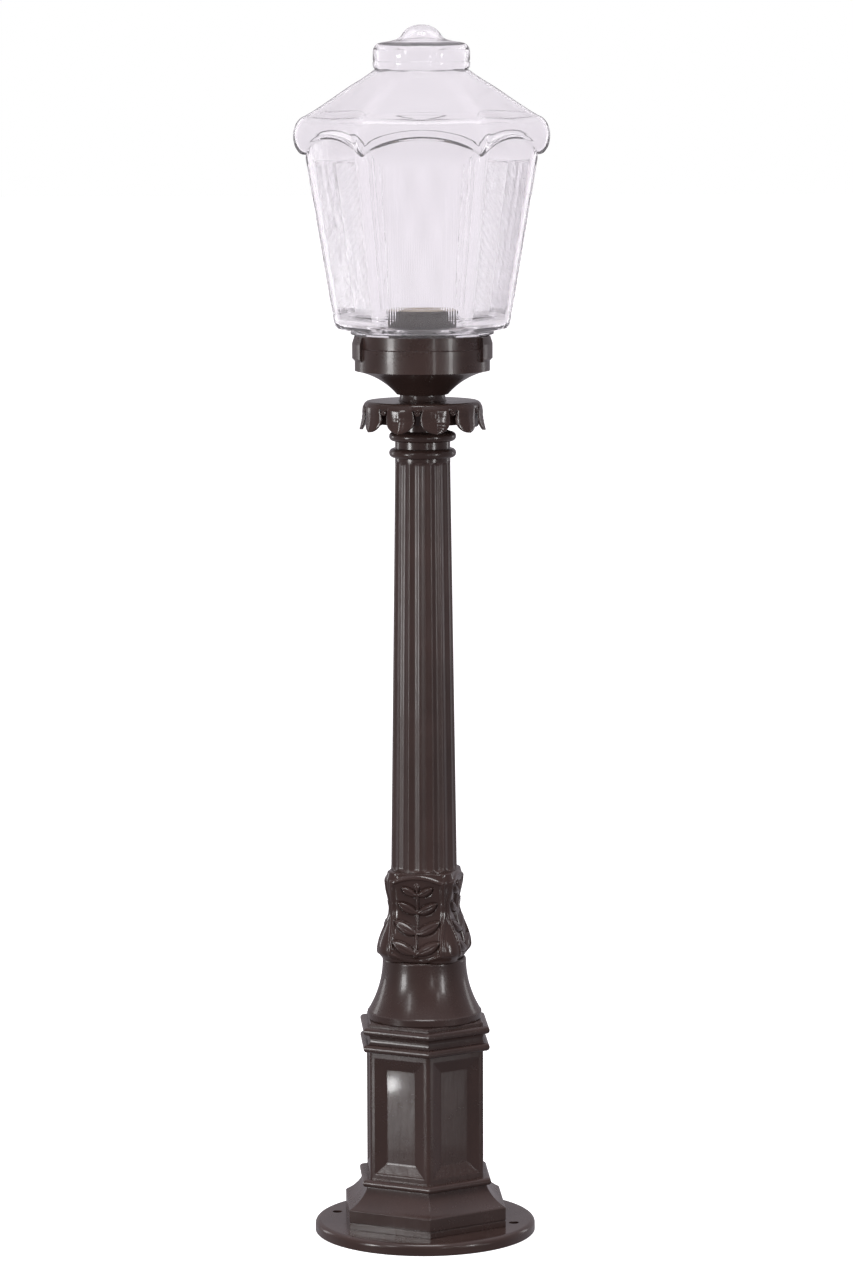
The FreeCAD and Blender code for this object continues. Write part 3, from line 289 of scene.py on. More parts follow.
def ribbed_ring(z, depth):
    """Inside of the body: fine upright prisms at a fixed pitch, cut off by the corner strips."""
    apothem = body_corner(z) * COS30 - WALL
    half = apothem * TAN30
    edge = half * (1.0 - POST_SHARE)
    columns = panel_columns()
    rib_zone = [j for j, u in enumerate(columns) if abs(u) <= 1.0 - POST_SHARE + 1e-9]
    ring = []
    for side in range(6):
        bearing = FRONT + 60.0 * side
        out = Vector(polar(1.0, bearing, 0.0))
        across = Vector(polar(1.0, bearing + 90.0, 0.0))
        for j, u in enumerate(columns):
            x = u * half
            inward = 0.0
            if j in rib_zone:
                x = u / (1.0 - POST_SHARE) * RIB_HALF
                if abs(x) >= edge:
                    x = math.copysign(edge, x)
                elif (j - rib_zone[0]) % 2:
                    inward = depth
            turn = math.atan2(x, apothem)
            radius = hex_radius(apothem, math.degrees(turn), z) - inward / math.cos(turn)
            point = (out * math.cos(turn) + across * math.sin(turn)) * radius
            ring.append((point.x, point.y, z))
    return ring


def globe_inside():
    """From under the dome down to the skirt."""
    rings = round_rings(CAP_INSIDE)
    rings += roof_rings((1.0, 0.9, 0.75, 0.6, 0.45, 0.3, 0.15, 0.0), *ROOF_INSIDE)
    rings += [eave_ring(step / EAVE_STEPS, WALL) for step in range(EAVE_STEPS, -1, -1)]
    rings.append(ribbed_ring(RIB_Z[1], 0.0))
    high, low = RIB_Z[1] - 2.0, RIB_Z[0] + 1.2
    rings += [ribbed_ring(mix(high, low, k / RIB_ROWS), RIB_DEPTH) for k in range(RIB_ROWS + 1)]
    rings.append(ribbed_ring(RIB_Z[0], 0.0))
    for t in (0.0, 0.3, 0.6, 0.85, 1.0):
        bend = math.radians(90.0 * t)
        apothem = mix(*FOOT_INSIDE_R, 1.0 - math.cos(bend))
        z = mix(*FOOT_INSIDE_Z, math.sin(bend))
        rings.append(panel_ring(lambda u: (apothem, smooth_step(t, 0.0, 1.0), z)))
    return rings + round_rings(FLANGE_INSIDE)


def make_globe():
    globe = ring_mesh("globe_moulding", globe_outside() + globe_inside(), GLOBE_CREASE)
    points = globe.data.vertices
    for edge in globe.data.edges:
        if all(ROOF_FOOT_Z[0] < points[i].co.z < ROOF_FOOT_Z[1] for i in edge.vertices):
            edge.use_edge_sharp = False
    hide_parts("globe")
    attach(globe, "globe")
    return globe


# ---- leaf sleeve ------------------------------------------------------------------------------
SLEEVE_BEARING = FRONT - 12.0
SLEEVE_Z = (255.2, 336.7)
SLEEVE_LEVELS = ((255.2, 34.4), (263.8, 38.4), (303.7, 29.2), (327.7, 32.0), (336.7, 30.2))
FLAT_SHARE = 0.55                 # flat part of a side, as a share of its half width
FRAME_HALF = 22.3
FRAME_WIDTH = 3.0
FRAME_PROUD = 1.0
FRAME_HEAD = (331.6, 5.0)         # height of the panel's head, and how far it drops to the sides
FRAME_FOOT = (257.6, 6.3)         # height of the panel's foot, and how far it rises to the sides
GROUND_DEPTH = 0.9
STEM_Z = (258.0, 324.0)
STEM_HALF = (1.9, 1.2)            # half width at the stem's foot and head
STEM_HEIGHT = 1.9
# Each pair of leaves: height of their middles, length and width.
SPRIG = ((269.3, 25.0, 8.6), (287.3, 24.0, 8.4), (304.8, 20.5, 7.6), (320.2, 16.5, 6.4))
SPRIG_SLOPE = math.radians(27.0)
SPRIG_REACH = 0.43                # from the stem to a leaf's middle, as a share of its length
SPRIG_ARCH = 0.9
CREST_HEIGHT = 3.1
VEIN_DEPTH = 0.8
GROOVE_DEPTH = 0.8                # cut round each leaf
BUD_Z = 324.2
BUD_HALF = (2.6, 3.6)             # half width and half height
BUD_HEIGHT = 2.0
SIDE_COLUMNS = 104
SLEEVE_ROWS = 150
SLEEVE_ROUND = 1.0                # rounding at the top and bottom edges
SLEEVE_CREASE = 50.0
SLEEVE_FOOT_R = 31.0
SLEEVE_ROOM_R = 20.0
SLEEVE_FLOOR = 4.5
SLEEVE_ROOF = 5.0
SPIGOT_R = 24.4                   # spigot on the sleeve's head, which the column stands over
SPIGOT_HEIGHT = 4.0
TUBE_BORE_R = 7.2                 # hole for the clamping tube


def sleeve_half(z):
    for (z0, w0), (z1, w1) in zip(SLEEVE_LEVELS, SLEEVE_LEVELS[1:]):
        if z <= z1:
            return mix(w0, w1, 0.5 - 0.5 * math.cos(math.pi * max(0.0, z - z0) / (z1 - z0)))
    return SLEEVE_LEVELS[-1][1]


def leaf_relief(y, z, centre_z, length, width, height):
    """The height at one point with one leaf added: a veined crest, and a groove cut round it."""
    dy = y - SPRIG_REACH * length
    dz = z - centre_z
    along = (dy * math.cos(SPRIG_SLOPE) + dz * math.sin(SPRIG_SLOPE)) / (0.5 * length)
    if abs(along) > 1.25:
        return height
    arch = SPRIG_ARCH * (1.0 - along * along)
    across = dz * math.cos(SPRIG_SLOPE) - dy * math.sin(SPRIG_SLOPE) + arch
    half = 0.56 * width * max(0.0, 1.0 - abs(along) ** 2.2) ** 0.8 + 0.05
    share = abs(across) / half
    if share < 1.0 and abs(along) < 1.0:
        crest = CREST_HEIGHT * (1.0 - share ** 2.2) ** 0.7 * (1.0 - 0.35 * along * along)
        vein = VEIN_DEPTH * bell_curve(across, 0.0, 0.6) * (1.0 - along * along)
        return max(height, crest - vein)
    if height >= 0.2:
        return height
    past_tip = 4.0 * (abs(along) - 1.0) + abs(across)
    away = abs(across) - half if abs(along) < 1.0 else past_tip
    return height - GROOVE_DEPTH * bell_curve(away, 0.0, 0.9)


def sprig_relief(y, z):
    """Height of the stem, bud and leaves above the panel ground."""
    height = 0.0
    low, high = STEM_Z
    if low < z < high:
        stem_half = mix(*STEM_HALF, (z - low) / (high - low))
        if abs(y) < stem_half:
            dome = math.sqrt(1.0 - (y / stem_half) ** 2)
            height = STEM_HEIGHT * dome * smooth_step(z, low, low + 4.0)
    for leaf in SPRIG:
        for hand in (-1.0, 1.0):
            height = leaf_relief(hand * y, z, *leaf, height)
    bud = math.hypot(y / BUD_HALF[0], (z - BUD_Z) / BUD_HALF[1])
    if bud < 1.0:
        dome = BUD_HEIGHT * math.sqrt(1.0 - bud * bud)
        height = max(height, dome - 0.5 * bell_curve(y, 0.0, 0.5))
    return height


def sleeve_relief(y, z):
    """Framed panel with an arched head and foot, and a leafy sprig on it."""
    curve = min(1.0, (y / FRAME_HALF) ** 2)
    head = FRAME_HEAD[0] - FRAME_HEAD[1] * curve
    foot = FRAME_FOOT[0] + FRAME_FOOT[1] * curve
    outside = max(abs(y) - FRAME_HALF, z - head, foot - z)
    rise = smooth_step(outside, -0.5, 0.35)
    fall = 1.0 - smooth_step(outside, FRAME_WIDTH - 0.6, FRAME_WIDTH + 0.5)
    ground = -GROUND_DEPTH * (1.0 - smooth_step(outside, -1.6, 0.0))
    sprig = sprig_relief(y, z) * (1.0 - smooth_step(outside, -1.4, 0.2))
    return FRAME_PROUD * rise * fall + ground + sprig


def sleeve_ring(z, inset):
    """One level of the rounded-square sleeve, with its relief."""
    half = sleeve_half(z)
    flat = FLAT_SHARE * half
    radius = half - flat
    quarter = 2.0 * flat + 0.5 * math.pi * radius
    ring = []
    for side in range(4):
        turn = math.radians(SLEEVE_BEARING + 90.0 * side)
        for k in range(SIDE_COLUMNS):
            run = quarter * (k / SIDE_COLUMNS - 0.5)
            if abs(run) <= flat:
                x, y, lean = half, run, 0.0
            else:
                lean = math.copysign((abs(run) - flat) / radius, run)
                x = flat + radius * math.cos(lean)
                y = math.copysign(flat, run) + radius * math.sin(lean)
            lift = sleeve_relief(y, z) - inset
            x += lift * math.cos(lean)
            y += lift * math.sin(lean)
            ring.append((x * math.cos(turn) - y * math.sin(turn),
                         x * math.sin(turn) + y * math.cos(turn), z))
    return ring


def round_ring(radius, z, count, start):
    return [polar(radius, start + 360.0 * k / count, z) for k in range(count)]


def make_sleeve():
    low, high = SLEEVE_Z
    rings = []
    for k in range(SLEEVE_ROWS + 1):
        z = mix(low, high, k / SLEEVE_ROWS)
        near_edge = 1.0 - min(1.0, min(z - low, high - z) / SLEEVE_ROUND)
        inset = SLEEVE_ROUND * (1.0 - math.sqrt(max(0.0, 1.0 - near_edge ** 2)))
        rings.append(sleeve_ring(z, inset))
    tip, ceiling, floor = high + SPIGOT_HEIGHT, high - SLEEVE_ROOF, low + SLEEVE_FLOOR
    inside = ((SPIGOT_R, high), (SPIGOT_R, tip), (TUBE_BORE_R, tip), (TUBE_BORE_R, ceiling),
              (SLEEVE_ROOM_R, ceiling), (SLEEVE_ROOM_R, floor), (TUBE_BORE_R, floor),
              (TUBE_BORE_R, low), (SLEEVE_FOOT_R, low))
    start = SLEEVE_BEARING - 45.0
    rings += [round_ring(radius, z, 4 * SIDE_COLUMNS, start) for radius, z in inside]
    sleeve = ring_mesh("leaf_sleeve_casting", rings, SLEEVE_CREASE)
    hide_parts("leaf_sleeve")
    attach(sleeve, "post")
    return sleeve


# ---- fluted column ----------------------------------------------------------------------------
COLUMN_Z = (336.7, 709.9)
COLUMN_R = (30.15, 25.0)
FLUTE_COUNT = 16
FLUTE_BEARING = FRONT + 5.0
FLUTE_Z = (337.7, 709.6)
FLUTE_END = 3.2                   # length of a flute's rounded end
FLUTE_DEPTH = 1.5
FLUTE_FULLNESS = 0.8              # under 1 the hollows are wide and the ridges narrow
FLUTE_COLUMNS = 18
FLUTE_END_ROWS = 10
COLUMN_ROWS = 24
COLUMN_BORE_R = (24.75, 19.6)     # at the foot and at the head
COLUMN_CREASE = 40.0


def column_ring(z):
    """One level of the column: wide hollow flutes between narrow rounded ridges."""
    radius = mix(*COLUMN_R, (z - COLUMN_Z[0]) / (COLUMN_Z[1] - COLUMN_Z[0]))
    end = min(1.0, max(0.0, min(z - FLUTE_Z[0], FLUTE_Z[1] - z) / FLUTE_END))
    reach = math.sqrt(1.0 - (1.0 - end) ** 2)
    ring = []
    for k in range(FLUTE_COUNT):
        for j in range(FLUTE_COLUMNS):
            place = j / FLUTE_COLUMNS - 0.5
            narrow = min(0.5, abs(place) / max(0.05, reach))
            hollow = (0.5 + 0.5 * math.cos(2.0 * math.pi * narrow)) ** FLUTE_FULLNESS
            bearing = FLUTE_BEARING + 360.0 * (k + place) / FLUTE_COUNT
            ring.append(polar(radius - FLUTE_DEPTH * reach * hollow, bearing, z))
    return ring


def make_column():
    low, high = COLUMN_Z
    turns = [0.5 * math.pi * k / FLUTE_END_ROWS for k in range(FLUTE_END_ROWS + 1)]
    ends = [FLUTE_END * (1.0 - math.cos(turn)) for turn in turns]
    levels = [low] + [FLUTE_Z[0] + end for end in ends]
    levels += [mix(low, high, k / COLUMN_ROWS) for k in range(1, COLUMN_ROWS)]
    levels += [FLUTE_Z[1] - end for end in reversed(ends)] + [high]
    count = FLUTE_COUNT * FLUTE_COLUMNS
    start = FLUTE_BEARING - 180.0 / FLUTE_COUNT
    rings = [column_ring(z) for z in levels]
    rings += [round_ring(COLUMN_BORE_R[1], high, count, start),
              round_ring(COLUMN_BORE_R[0], low, count, start)]
    column = ring_mesh("fluted_column_casting", rings, COLUMN_CREASE)
    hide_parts("fluted_column")
    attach(column, "post")
    return column


# ---- leaf crown -------------------------------------------------------------------------------
LEAF_BEARING = FRONT + 13.0
LEAF_COUNT = 10
LEAF_TIP_Z = 737.8
LEAF_HALF = 14.0
LEAF_ROOT_HALF = 12.0
LEAF_ROOT_Z = 762.6
LEAF_BEND_Z = 760.0               # cup and middle vein start here, and the side veins a bit lower
LEAF_SIDE_VEIN_Z = 756.0
LEAF_TIP_HALF = 0.25
LEAF_WIDE_Z = 750.0               # a leaf is full width here, and narrows below it
LEAF_R = 53.2
LEAF_ROOT_R = 50.9
LEAF_UPRIGHT_Z = (751.0, 758.0)
LEAF_FLARE = 2.6                  # how far the tips stand out
LEAF_CUP = 1.1                    # how far a leaf's sides lie behind its middle
LEAF_VEIN = 0.55
LEAF_SIDE_VEIN = 0.16
LEAF_THICK = 0.95                 # half the thickness
LEAF_STEPS = 26
# Places across a leaf from -1 to 1, close together at its edges.
LEAF_PLACES = [math.sin(0.5 * math.pi * (k / 10.0 - 1.0)) for k in range(21)]
ROSETTE_R = 52.2
ROSETTE_Z = 756.4
ROSETTE_COLUMNS = 20
# Rosette as (radius, height above its seat), and the crown's disc as (radius, z).
ROSETTE_PROFILE = (
    (2.9, -1.2), (2.9, 0.9), (2.6, 1.6), (2.1, 1.7), (1.7, 1.2), (1.3, 1.1), (0.9, 1.7), (0.4, 2.1))
CROWN_PROFILE = (
    (7.2, 737.0), (22.0, 737.0), (22.0, 757.0), (43.5, 757.0), (43.5, 744.9), (43.9, 744.5),
    (46.1, 744.5), (46.5, 744.9), (46.5, 757.0), (50.4, 757.0), (51.6, 757.3), (52.6, 758.4),
    (52.6, 760.2), (52.2, 761.6), (51.6, 762.8), (50.7, 763.7), (49.6, 764.1), (48.4, 764.2),
    (7.2, 764.2))
CROWN_COLUMNS = 240
CROWN_CREASE = 40.0


def leaf_half(z):
    """Half width of a crown leaf at one height."""
    if z > LEAF_WIDE_Z:
        return mix(LEAF_HALF, LEAF_ROOT_HALF, smooth_step(z, LEAF_WIDE_Z, LEAF_WIDE_Z + 12.0))
    share = (LEAF_WIDE_Z - z) / (LEAF_WIDE_Z - LEAF_TIP_Z)
    return LEAF_HALF * max(0.0, 1.0 - share ** 2.4) ** 0.56


def leaf_radius(z):
    """Outline of the turned-down rim: upright at first, then flared outwards below a bend."""
    low, high = LEAF_UPRIGHT_Z
    if z > high:
        return mix(LEAF_R, LEAF_ROOT_R, smooth_step(z, high, high + 5.8))
    if z > low:
        return LEAF_R
    return LEAF_R + LEAF_FLARE * ((low - z) / (low - LEAF_TIP_Z)) ** 1.25


def leaf_rings(bearing):
    """A leaf as a loft of closed sections from its root down to its tip."""
    rings = []
    for k in range(LEAF_STEPS + 1):
        z = mix(LEAF_ROOT_Z, LEAF_TIP_Z, math.sin(0.5 * math.pi * (k / LEAF_STEPS)) ** 0.9)
        half = max(LEAF_TIP_HALF, leaf_half(z))
        middle = leaf_radius(z)
        cup = LEAF_CUP * smooth_step(LEAF_BEND_Z - z, 0.0, 12.0)
        middle_vein = LEAF_VEIN * smooth_step(LEAF_BEND_Z - z, 0.0, 6.0)
        side_veins = LEAF_SIDE_VEIN * smooth_step(LEAF_SIDE_VEIN_Z - z, 0.0, 4.0)
        outer, inner = [], []
        for s in LEAF_PLACES:
            place = bearing + math.degrees(half * s / middle)
            vein = middle_vein * bell_curve(half * s, 0.0, 1.0)
            vein += side_veins * math.cos(3.4 * (z + 0.9 * abs(half * s))) * (1.0 - s * s)
            thick = LEAF_THICK * math.sqrt(max(0.0, 1.0 - s ** 6)) + 0.02
            face = middle - cup * s * s
            outer.append(polar(face + thick + vein, place, z))
            inner.append(polar(face - thick, place, z))
        rings.append(outer + inner[::-1][1:-1])
    return rings


def rosette_rings(bearing):
    """Small round boss with a dished face, where two leaves meet."""
    out = Vector(polar(1.0, bearing, 0.0))
    across = Vector(polar(1.0, bearing + 90.0, 0.0))
    up = Vector((0.0, 0.0, 1.0))
    centre = out * ROSETTE_R + up * ROSETTE_Z
    rings = []
    for radius, height in ROSETTE_PROFILE:
        ring = []
        for k in range(ROSETTE_COLUMNS):
            turn = 2.0 * math.pi * k / ROSETTE_COLUMNS
            rim = across * radius * math.cos(turn) + up * radius * math.sin(turn)
            ring.append(tuple(centre + out * height + rim))
        rings.append(ring)
    return rings


def loft(bm, rings):
    """Adds a loft with flat ends to a bmesh."""
    rows = join_rings(bm, rings, False)
    bm.faces.new(rows[0][::-1])
    bm.faces.new(rows[-1])


def make_crown():
    disc = [round_ring(radius, z, CROWN_COLUMNS, 0.0) for radius, z in CROWN_PROFILE]
    crown = ring_mesh("leaf_crown_casting", disc, CROWN_CREASE)
    bm = bmesh.new()
    bm.from_mesh(crown.data)
    for k in range(LEAF_COUNT):
        bearing = LEAF_BEARING + 360.0 * k / LEAF_COUNT
        loft(bm, leaf_rings(bearing))
        loft(bm, rosette_rings(bearing + 180.0 / LEAF_COUNT))
    bmesh.ops.recalc_face_normals(bm, faces=bm.faces)
    bm.to_mesh(crown.data)
    bm.free()
    crown.data.shade_smooth()
    crown.data.set_sharp_from_angle(angle=math.radians(CROWN_CREASE))
    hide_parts("leaf_crown")
    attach(crown, "post")
    return crown


# ---- materials --------------------------------------------------------------------------------
class Nodes:
    """Short ways to add nodes to one node tree."""

    def __init__(self, tree):
        self.tree = tree

    def add(self, kind, **values):
        node = self.tree.nodes.new(kind)
        for key, value in values.items():
            setattr(node, key, value)
        return node

    def link(self, source, target):
        self.tree.links.new(source, target)

    def feed(self, sockets, values):
        """Plain values are set on their sockets, and the rest are linked to them."""
        for socket, value in zip(sockets, values):
            if isinstance(value, (tuple, float)):
                socket.default_value = value
            else:
                self.link(value, socket)

    def levels(self, source, low, high, out_low, out_high, **values):
        node = self.add("ShaderNodeMapRange", **values)
        names = ("Value", "From Min", "From Max", "To Min", "To Max")
        self.feed([node.inputs[name] for name in names], (source, low, high, out_low, out_high))
        return node.outputs["Result"]

    def blend(self, factor, first, second):
        node = self.add("ShaderNodeMix", data_type="RGBA")
        self.feed((node.inputs[0], node.inputs[6], node.inputs[7]), (factor, first, second))
        return node.outputs[2]

    def blend_number(self, factor, first, second):
        node = self.add("ShaderNodeMix", data_type="FLOAT")
        self.feed((node.inputs[0], node.inputs[2], node.inputs[3]), (factor, first, second))
        return node.outputs[0]

    def math(self, operation, first, second=0.0):
        node = self.add("ShaderNodeMath", operation=operation)
        self.feed(node.inputs, (first, second))
        return node.outputs[0]


class Shader(Nodes):
    """One material's principled shader, with the patterns that feed it."""

    def __init__(self, name):
        self.material = bpy.data.materials.new(name)
        self.material.use_nodes = True
        super().__init__(self.material.node_tree)
        self.surface = self.tree.nodes["Principled BSDF"]
        self.coordinates = self.add("ShaderNodeTexCoord").outputs["Object"]

    def put(self, **values):
        """Uniform values straight on the shader's own sockets."""
        for key, value in values.items():
            socket = "IOR" if key == "ior" else key.replace("_", " ").title()
            self.surface.inputs[socket].default_value = value

    def stretched(self, scale):
        mapping = self.add("ShaderNodeMapping")
        mapping.inputs["Scale"].default_value = scale
        self.link(self.coordinates, mapping.inputs["Vector"])
        return mapping.outputs["Vector"]

    def noise(self, scale, detail=4.0, roughness=0.55, source=None):
        node = self.add("ShaderNodeTexNoise")
        node.inputs["Scale"].default_value = scale
        node.inputs["Detail"].default_value = detail
        node.inputs["Roughness"].default_value = roughness
        self.link(source or self.coordinates, node.inputs["Vector"])
        return node.outputs["Fac"]

    def ramp(self, source, stops):
        node = self.add("ShaderNodeValToRGB")
        elements = node.color_ramp.elements
        while len(elements) < len(stops):
            elements.new(0.5)
        for element, (place, colour) in zip(elements, stops):
            element.position = place
            element.color = colour if len(colour) == 4 else (*colour, 1.0)
        self.link(source, node.inputs["Fac"])
        return node.outputs["Color"]

    def bump(self, height, strength, distance, normal=None):
        node = self.add("ShaderNodeBump")
        node.inputs["Strength"].default_value = strength
        node.inputs["Distance"].default_value = distance
        self.link(height, node.inputs["Height"])
        if normal is not None:
            self.link(normal, node.inputs["Normal"])
        return node.outputs["Normal"]

    def rounded(self, radius):
        """Normals that soften sharp cast edges."""
        node = self.add("ShaderNodeBevel", samples=4)
        node.inputs["Radius"].default_value = radius
        return node.outputs["Normal"]

    def upward(self):
        """How far a surface faces up."""
        geometry = self.add("ShaderNodeNewGeometry")
        split = self.add("ShaderNodeSeparateXYZ")
        self.link(geometry.outputs["Normal"], split.inputs["Vector"])
        return split.outputs["Z"]


PAINT_TONE = (0.060, 0.0345, 0.0295)
PAINT_SPECK = (0.055, 0.046, 0.042, 1.0)
DUST = (0.13, 0.115, 0.10, 1.0)
PATTERN_SHIFT = 0.37              # metres between one casting's pattern and the next one's


def shades(tone, *stops):
    """Ramp stops of one tone: each stop is (place, share of the tone)."""
    return [(place, tuple(share * c for c in tone)) for place, share in stops]


def coating(name, edge_radius, waviness, roughness, shift):
    """Gloss dark-brown paint on a casting: drift, soft waviness, dust on ledges, soft edges."""
    s = Shader(name)
    shifted = s.add("ShaderNodeMapping")
    shifted.inputs["Location"].default_value = (shift, 2.0 * shift, -shift)
    s.link(s.coordinates, shifted.inputs["Vector"])
    place = shifted.outputs["Vector"]
    drift = s.noise(14.0, 5.0, 0.6, place)
    colour = s.ramp(drift, shades(PAINT_TONE, (0.30, 0.82), (0.52, 1.0), (0.74, 1.20)))
    speck = s.levels(s.noise(900.0, 2.0, 0.5, place), 0.74, 0.80, 0.0, 0.25)
    colour = s.blend(speck, colour, PAINT_SPECK)
    dusty = s.math("MULTIPLY", s.levels(s.upward(), 0.55, 1.0, 0.0, 1.0),
                   s.levels(s.noise(60.0, 6.0, 0.65, place), 0.45, 0.75, 0.0, 0.12))
    colour = s.blend(dusty, colour, DUST)
    s.link(colour, s.surface.inputs["Base Color"])
    patches = s.levels(
        s.noise(38.0, 6.0, 0.6, place), 0.32, 0.70, 0.8 * roughness, 1.2 * roughness)
    fine = s.levels(s.noise(420.0, 3.0, 0.5, place), 0.35, 0.65, -0.01, 0.01)
    rough = s.math("ADD", s.math("ADD", patches, fine), s.math("MULTIPLY", dusty, 0.6))
    s.link(rough, s.surface.inputs["Roughness"])
    peel = s.noise(520.0, 2.0, 0.45, place)
    cast = s.noise(90.0, 4.0, 0.5, place)
    wiped = s.noise(260.0, 3.0, 0.55, s.stretched((1.0, 1.0, 0.10)))
    normal = s.rounded(edge_radius)
    normal = s.bump(cast, waviness, 0.0006, normal)
    normal = s.bump(wiped, 1.4 * waviness, 0.0005, normal)
    normal = s.bump(peel, 0.015, 0.0002, normal)
    s.link(normal, s.surface.inputs["Normal"])
    s.put(ior=1.5, coat_weight=0.2, coat_roughness=0.06)
    return s.material


def clear_plastic():
    """Clear moulded plastic: nearly white, with a faint drift, haze and fine mould waviness."""
    s = Shader("clear_moulded_plastic")
    drift = s.noise(9.0, 4.0, 0.55)
    colour = s.ramp(drift, [(0.30, (0.965, 0.950, 0.965)), (0.70, (0.995, 0.985, 0.995))])
    s.link(colour, s.surface.inputs["Base Color"])
    haze = s.levels(s.noise(26.0, 5.0, 0.6), 0.30, 0.72, 0.02, 0.05)
    s.link(haze, s.surface.inputs["Roughness"])
    wave = s.noise(55.0, 3.0, 0.5)
    fine = s.noise(700.0, 2.0, 0.4)
    normal = s.bump(wave, 0.08, 0.0008)
    normal = s.bump(fine, 0.02, 0.0002, normal)
    s.link(normal, s.surface.inputs["Normal"])
    s.put(ior=1.33, transmission_weight=0.93)
    return s.material


def metal(name, tone, rough_low, rough_high, brushed):
    s = Shader(name)
    drift = s.noise(160.0, 5.0, 0.6)
    colour = s.ramp(drift, shades(tone, (0.3, 0.7), (0.7, 1.0)))
    s.link(colour, s.surface.inputs["Base Color"])
    rough = s.levels(s.noise(300.0, 4.0, 0.6), 0.3, 0.7, rough_low, rough_high)
    s.link(rough, s.surface.inputs["Roughness"])
    grain = s.noise(240.0, 3.0, 0.5, s.stretched(brushed))
    s.link(s.bump(grain, 0.18, 0.0003, s.rounded(0.0003)), s.surface.inputs["Normal"])
    s.put(metallic=1.0)
    return s.material


def dielectric(name, tone, rough_low, rough_high, edge_radius, pitted):
    s = Shader(name)
    drift = s.noise(120.0, 5.0, 0.6)
    colour = s.ramp(drift, shades(tone, (0.3, 0.8), (0.7, 1.0)))
    s.link(colour, s.surface.inputs["Base Color"])
    rough = s.levels(s.noise(260.0, 4.0, 0.6), 0.3, 0.7, rough_low, rough_high)
    s.link(rough, s.surface.inputs["Roughness"])
    pits = s.bump(s.noise(800.0, 3.0, 0.5), pitted, 0.0002, s.rounded(edge_radius))
    s.link(pits, s.surface.inputs["Normal"])
    s.put(ior=1.5)
    return s.material


def dress(obj, material):
    obj.data.materials.clear()
    obj.data.materials.append(material)


def dress_castings():
    """Paint, with each casting's edge radius in metres, waviness and roughness."""
    painted = {
        nodes["base_plate"]: (0.0012, 0.10, 0.22), nodes["pedestal"]: (0.0013, 0.24, 0.25),
        nodes["bell_collar"]: (0.0012, 0.06, 0.27), make_sleeve(): (0.0004, 0.06, 0.17),
        make_column(): (0.0005, 0.01, 0.36), nodes["capital_ring"]: (0.0009, 0.05, 0.22),
        make_crown(): (0.0004, 0.06, 0.17), nodes["neck_spacer"]: (0.0006, 0.05, 0.25),
        nodes["lamp_housing"]: (0.0006, 0.04, 0.30)}
    for k, (obj, finish) in enumerate(painted.items()):
        dress(obj, coating("coating_" + obj.name, *finish, PATTERN_SHIFT * (k + 1)))


def dress_nodes():
    zinc = metal("zinc_plate", (0.62, 0.62, 0.60), 0.25, 0.45, (1.0, 1.0, 6.0))
    steel = metal("blackened_steel", (0.040, 0.030, 0.024), 0.40, 0.60, (1.0, 1.0, 8.0))
    brass = metal("brass", (0.72, 0.52, 0.22), 0.20, 0.38, (1.0, 1.0, 5.0))
    porcelain = dielectric("porcelain", (0.50, 0.43, 0.33), 0.10, 0.22, 0.0004, 0.05)
    rubber = dielectric("rubber", (0.025, 0.024, 0.024), 0.55, 0.80, 0.0003, 0.25)
    nylon = dielectric("nylon", (0.78, 0.77, 0.73), 0.30, 0.50, 0.0003, 0.10)
    leads = {
        "lead_live": (0.16, 0.065, 0.022), "lead_neutral": (0.03, 0.10, 0.42),
        "lead_earth": (0.14, 0.36, 0.05)}
    groups = {
        "globe_seal": rubber, "inlet_bush": rubber, "tie_tube": zinc, "base_washer": zinc,
        "base_nut": zinc, "top_washer": zinc, "top_nut": zinc, "lampholder_bridge": zinc,
        "bridge_screws": zinc, "lampholder_cup": steel, "lampholder_body": porcelain,
        "lampholder_shell": brass, "lampholder_contact": brass, "lampholder_screws": zinc,
        "terminal_block": nylon, "terminal_screws": brass, "terminal_fixings": zinc,
        "earth_screw": brass}
    for name, material in groups.items():
        dress(nodes[name], material)
    for name, tone in leads.items():
        dress(nodes[name], dielectric(name + "_insulation", tone, 0.35, 0.55, 0.0002, 0.08))


# ---- surroundings -----------------------------------------------------------------------------
FLOOR_REACH = 30.0
WHITE = (1.0, 1.0, 1.0, 1.0)
ROOM_TINT = (1.0, 0.93, 1.0, 1.0)
THROUGH_TINT = (0.83, 0.803, 0.845, 1.0)    # what shows through the globe
# World brightness, as the stretch of a direction's X, Y or Z and the levels at its two ends.
ROOM_BY_Y = (-0.25, 0.5, 0.19, 0.34)
ROOM_BY_Z = (0.45, 0.85, 0.0, 0.30)         # added to the other
THROUGH_BY_X = (0.02, 0.38, 1.07, 1.38)
# Name, azimuth from the front to the right, distance, height, (width, height) and radiance.
LIGHTS = (
    ("left_box", -56.0, 3.0, 0.55, (0.60, 0.84), 13.5),
    ("left_high", -38.0, 2.2, 1.42, (0.28, 0.80), 7.0),
    ("right_box", 49.0, 3.0, 0.70, (0.36, 0.95), 12.0),
    ("right_high", 36.0, 2.2, 1.10, (0.20, 0.32), 5.0),
    ("front_strip", 20.0, 2.5, 0.57, (0.18, 0.50), 6.0),
    ("low_card", -56.0, 0.7, -0.01, (0.14, 0.12), 2.6),
    ("low_card_right", 60.0, 0.7, -0.01, (0.14, 0.12), 1.0),
    ("low_lamp", -52.7, 0.7, -0.002, (0.012, 0.014), 105.0),
    ("rim_left", -126.0, 3.0, 0.76, (0.50, 1.25), 2.4),
    ("rim_right", 128.0, 3.0, 0.70, (0.40, 1.10), 1.8),
    ("top_box", 0.0, 0.8, 2.9, (1.2, 0.9), 7.0))
AIM_HEIGHT = 0.6                  # metres: a light above this is turned down towards it


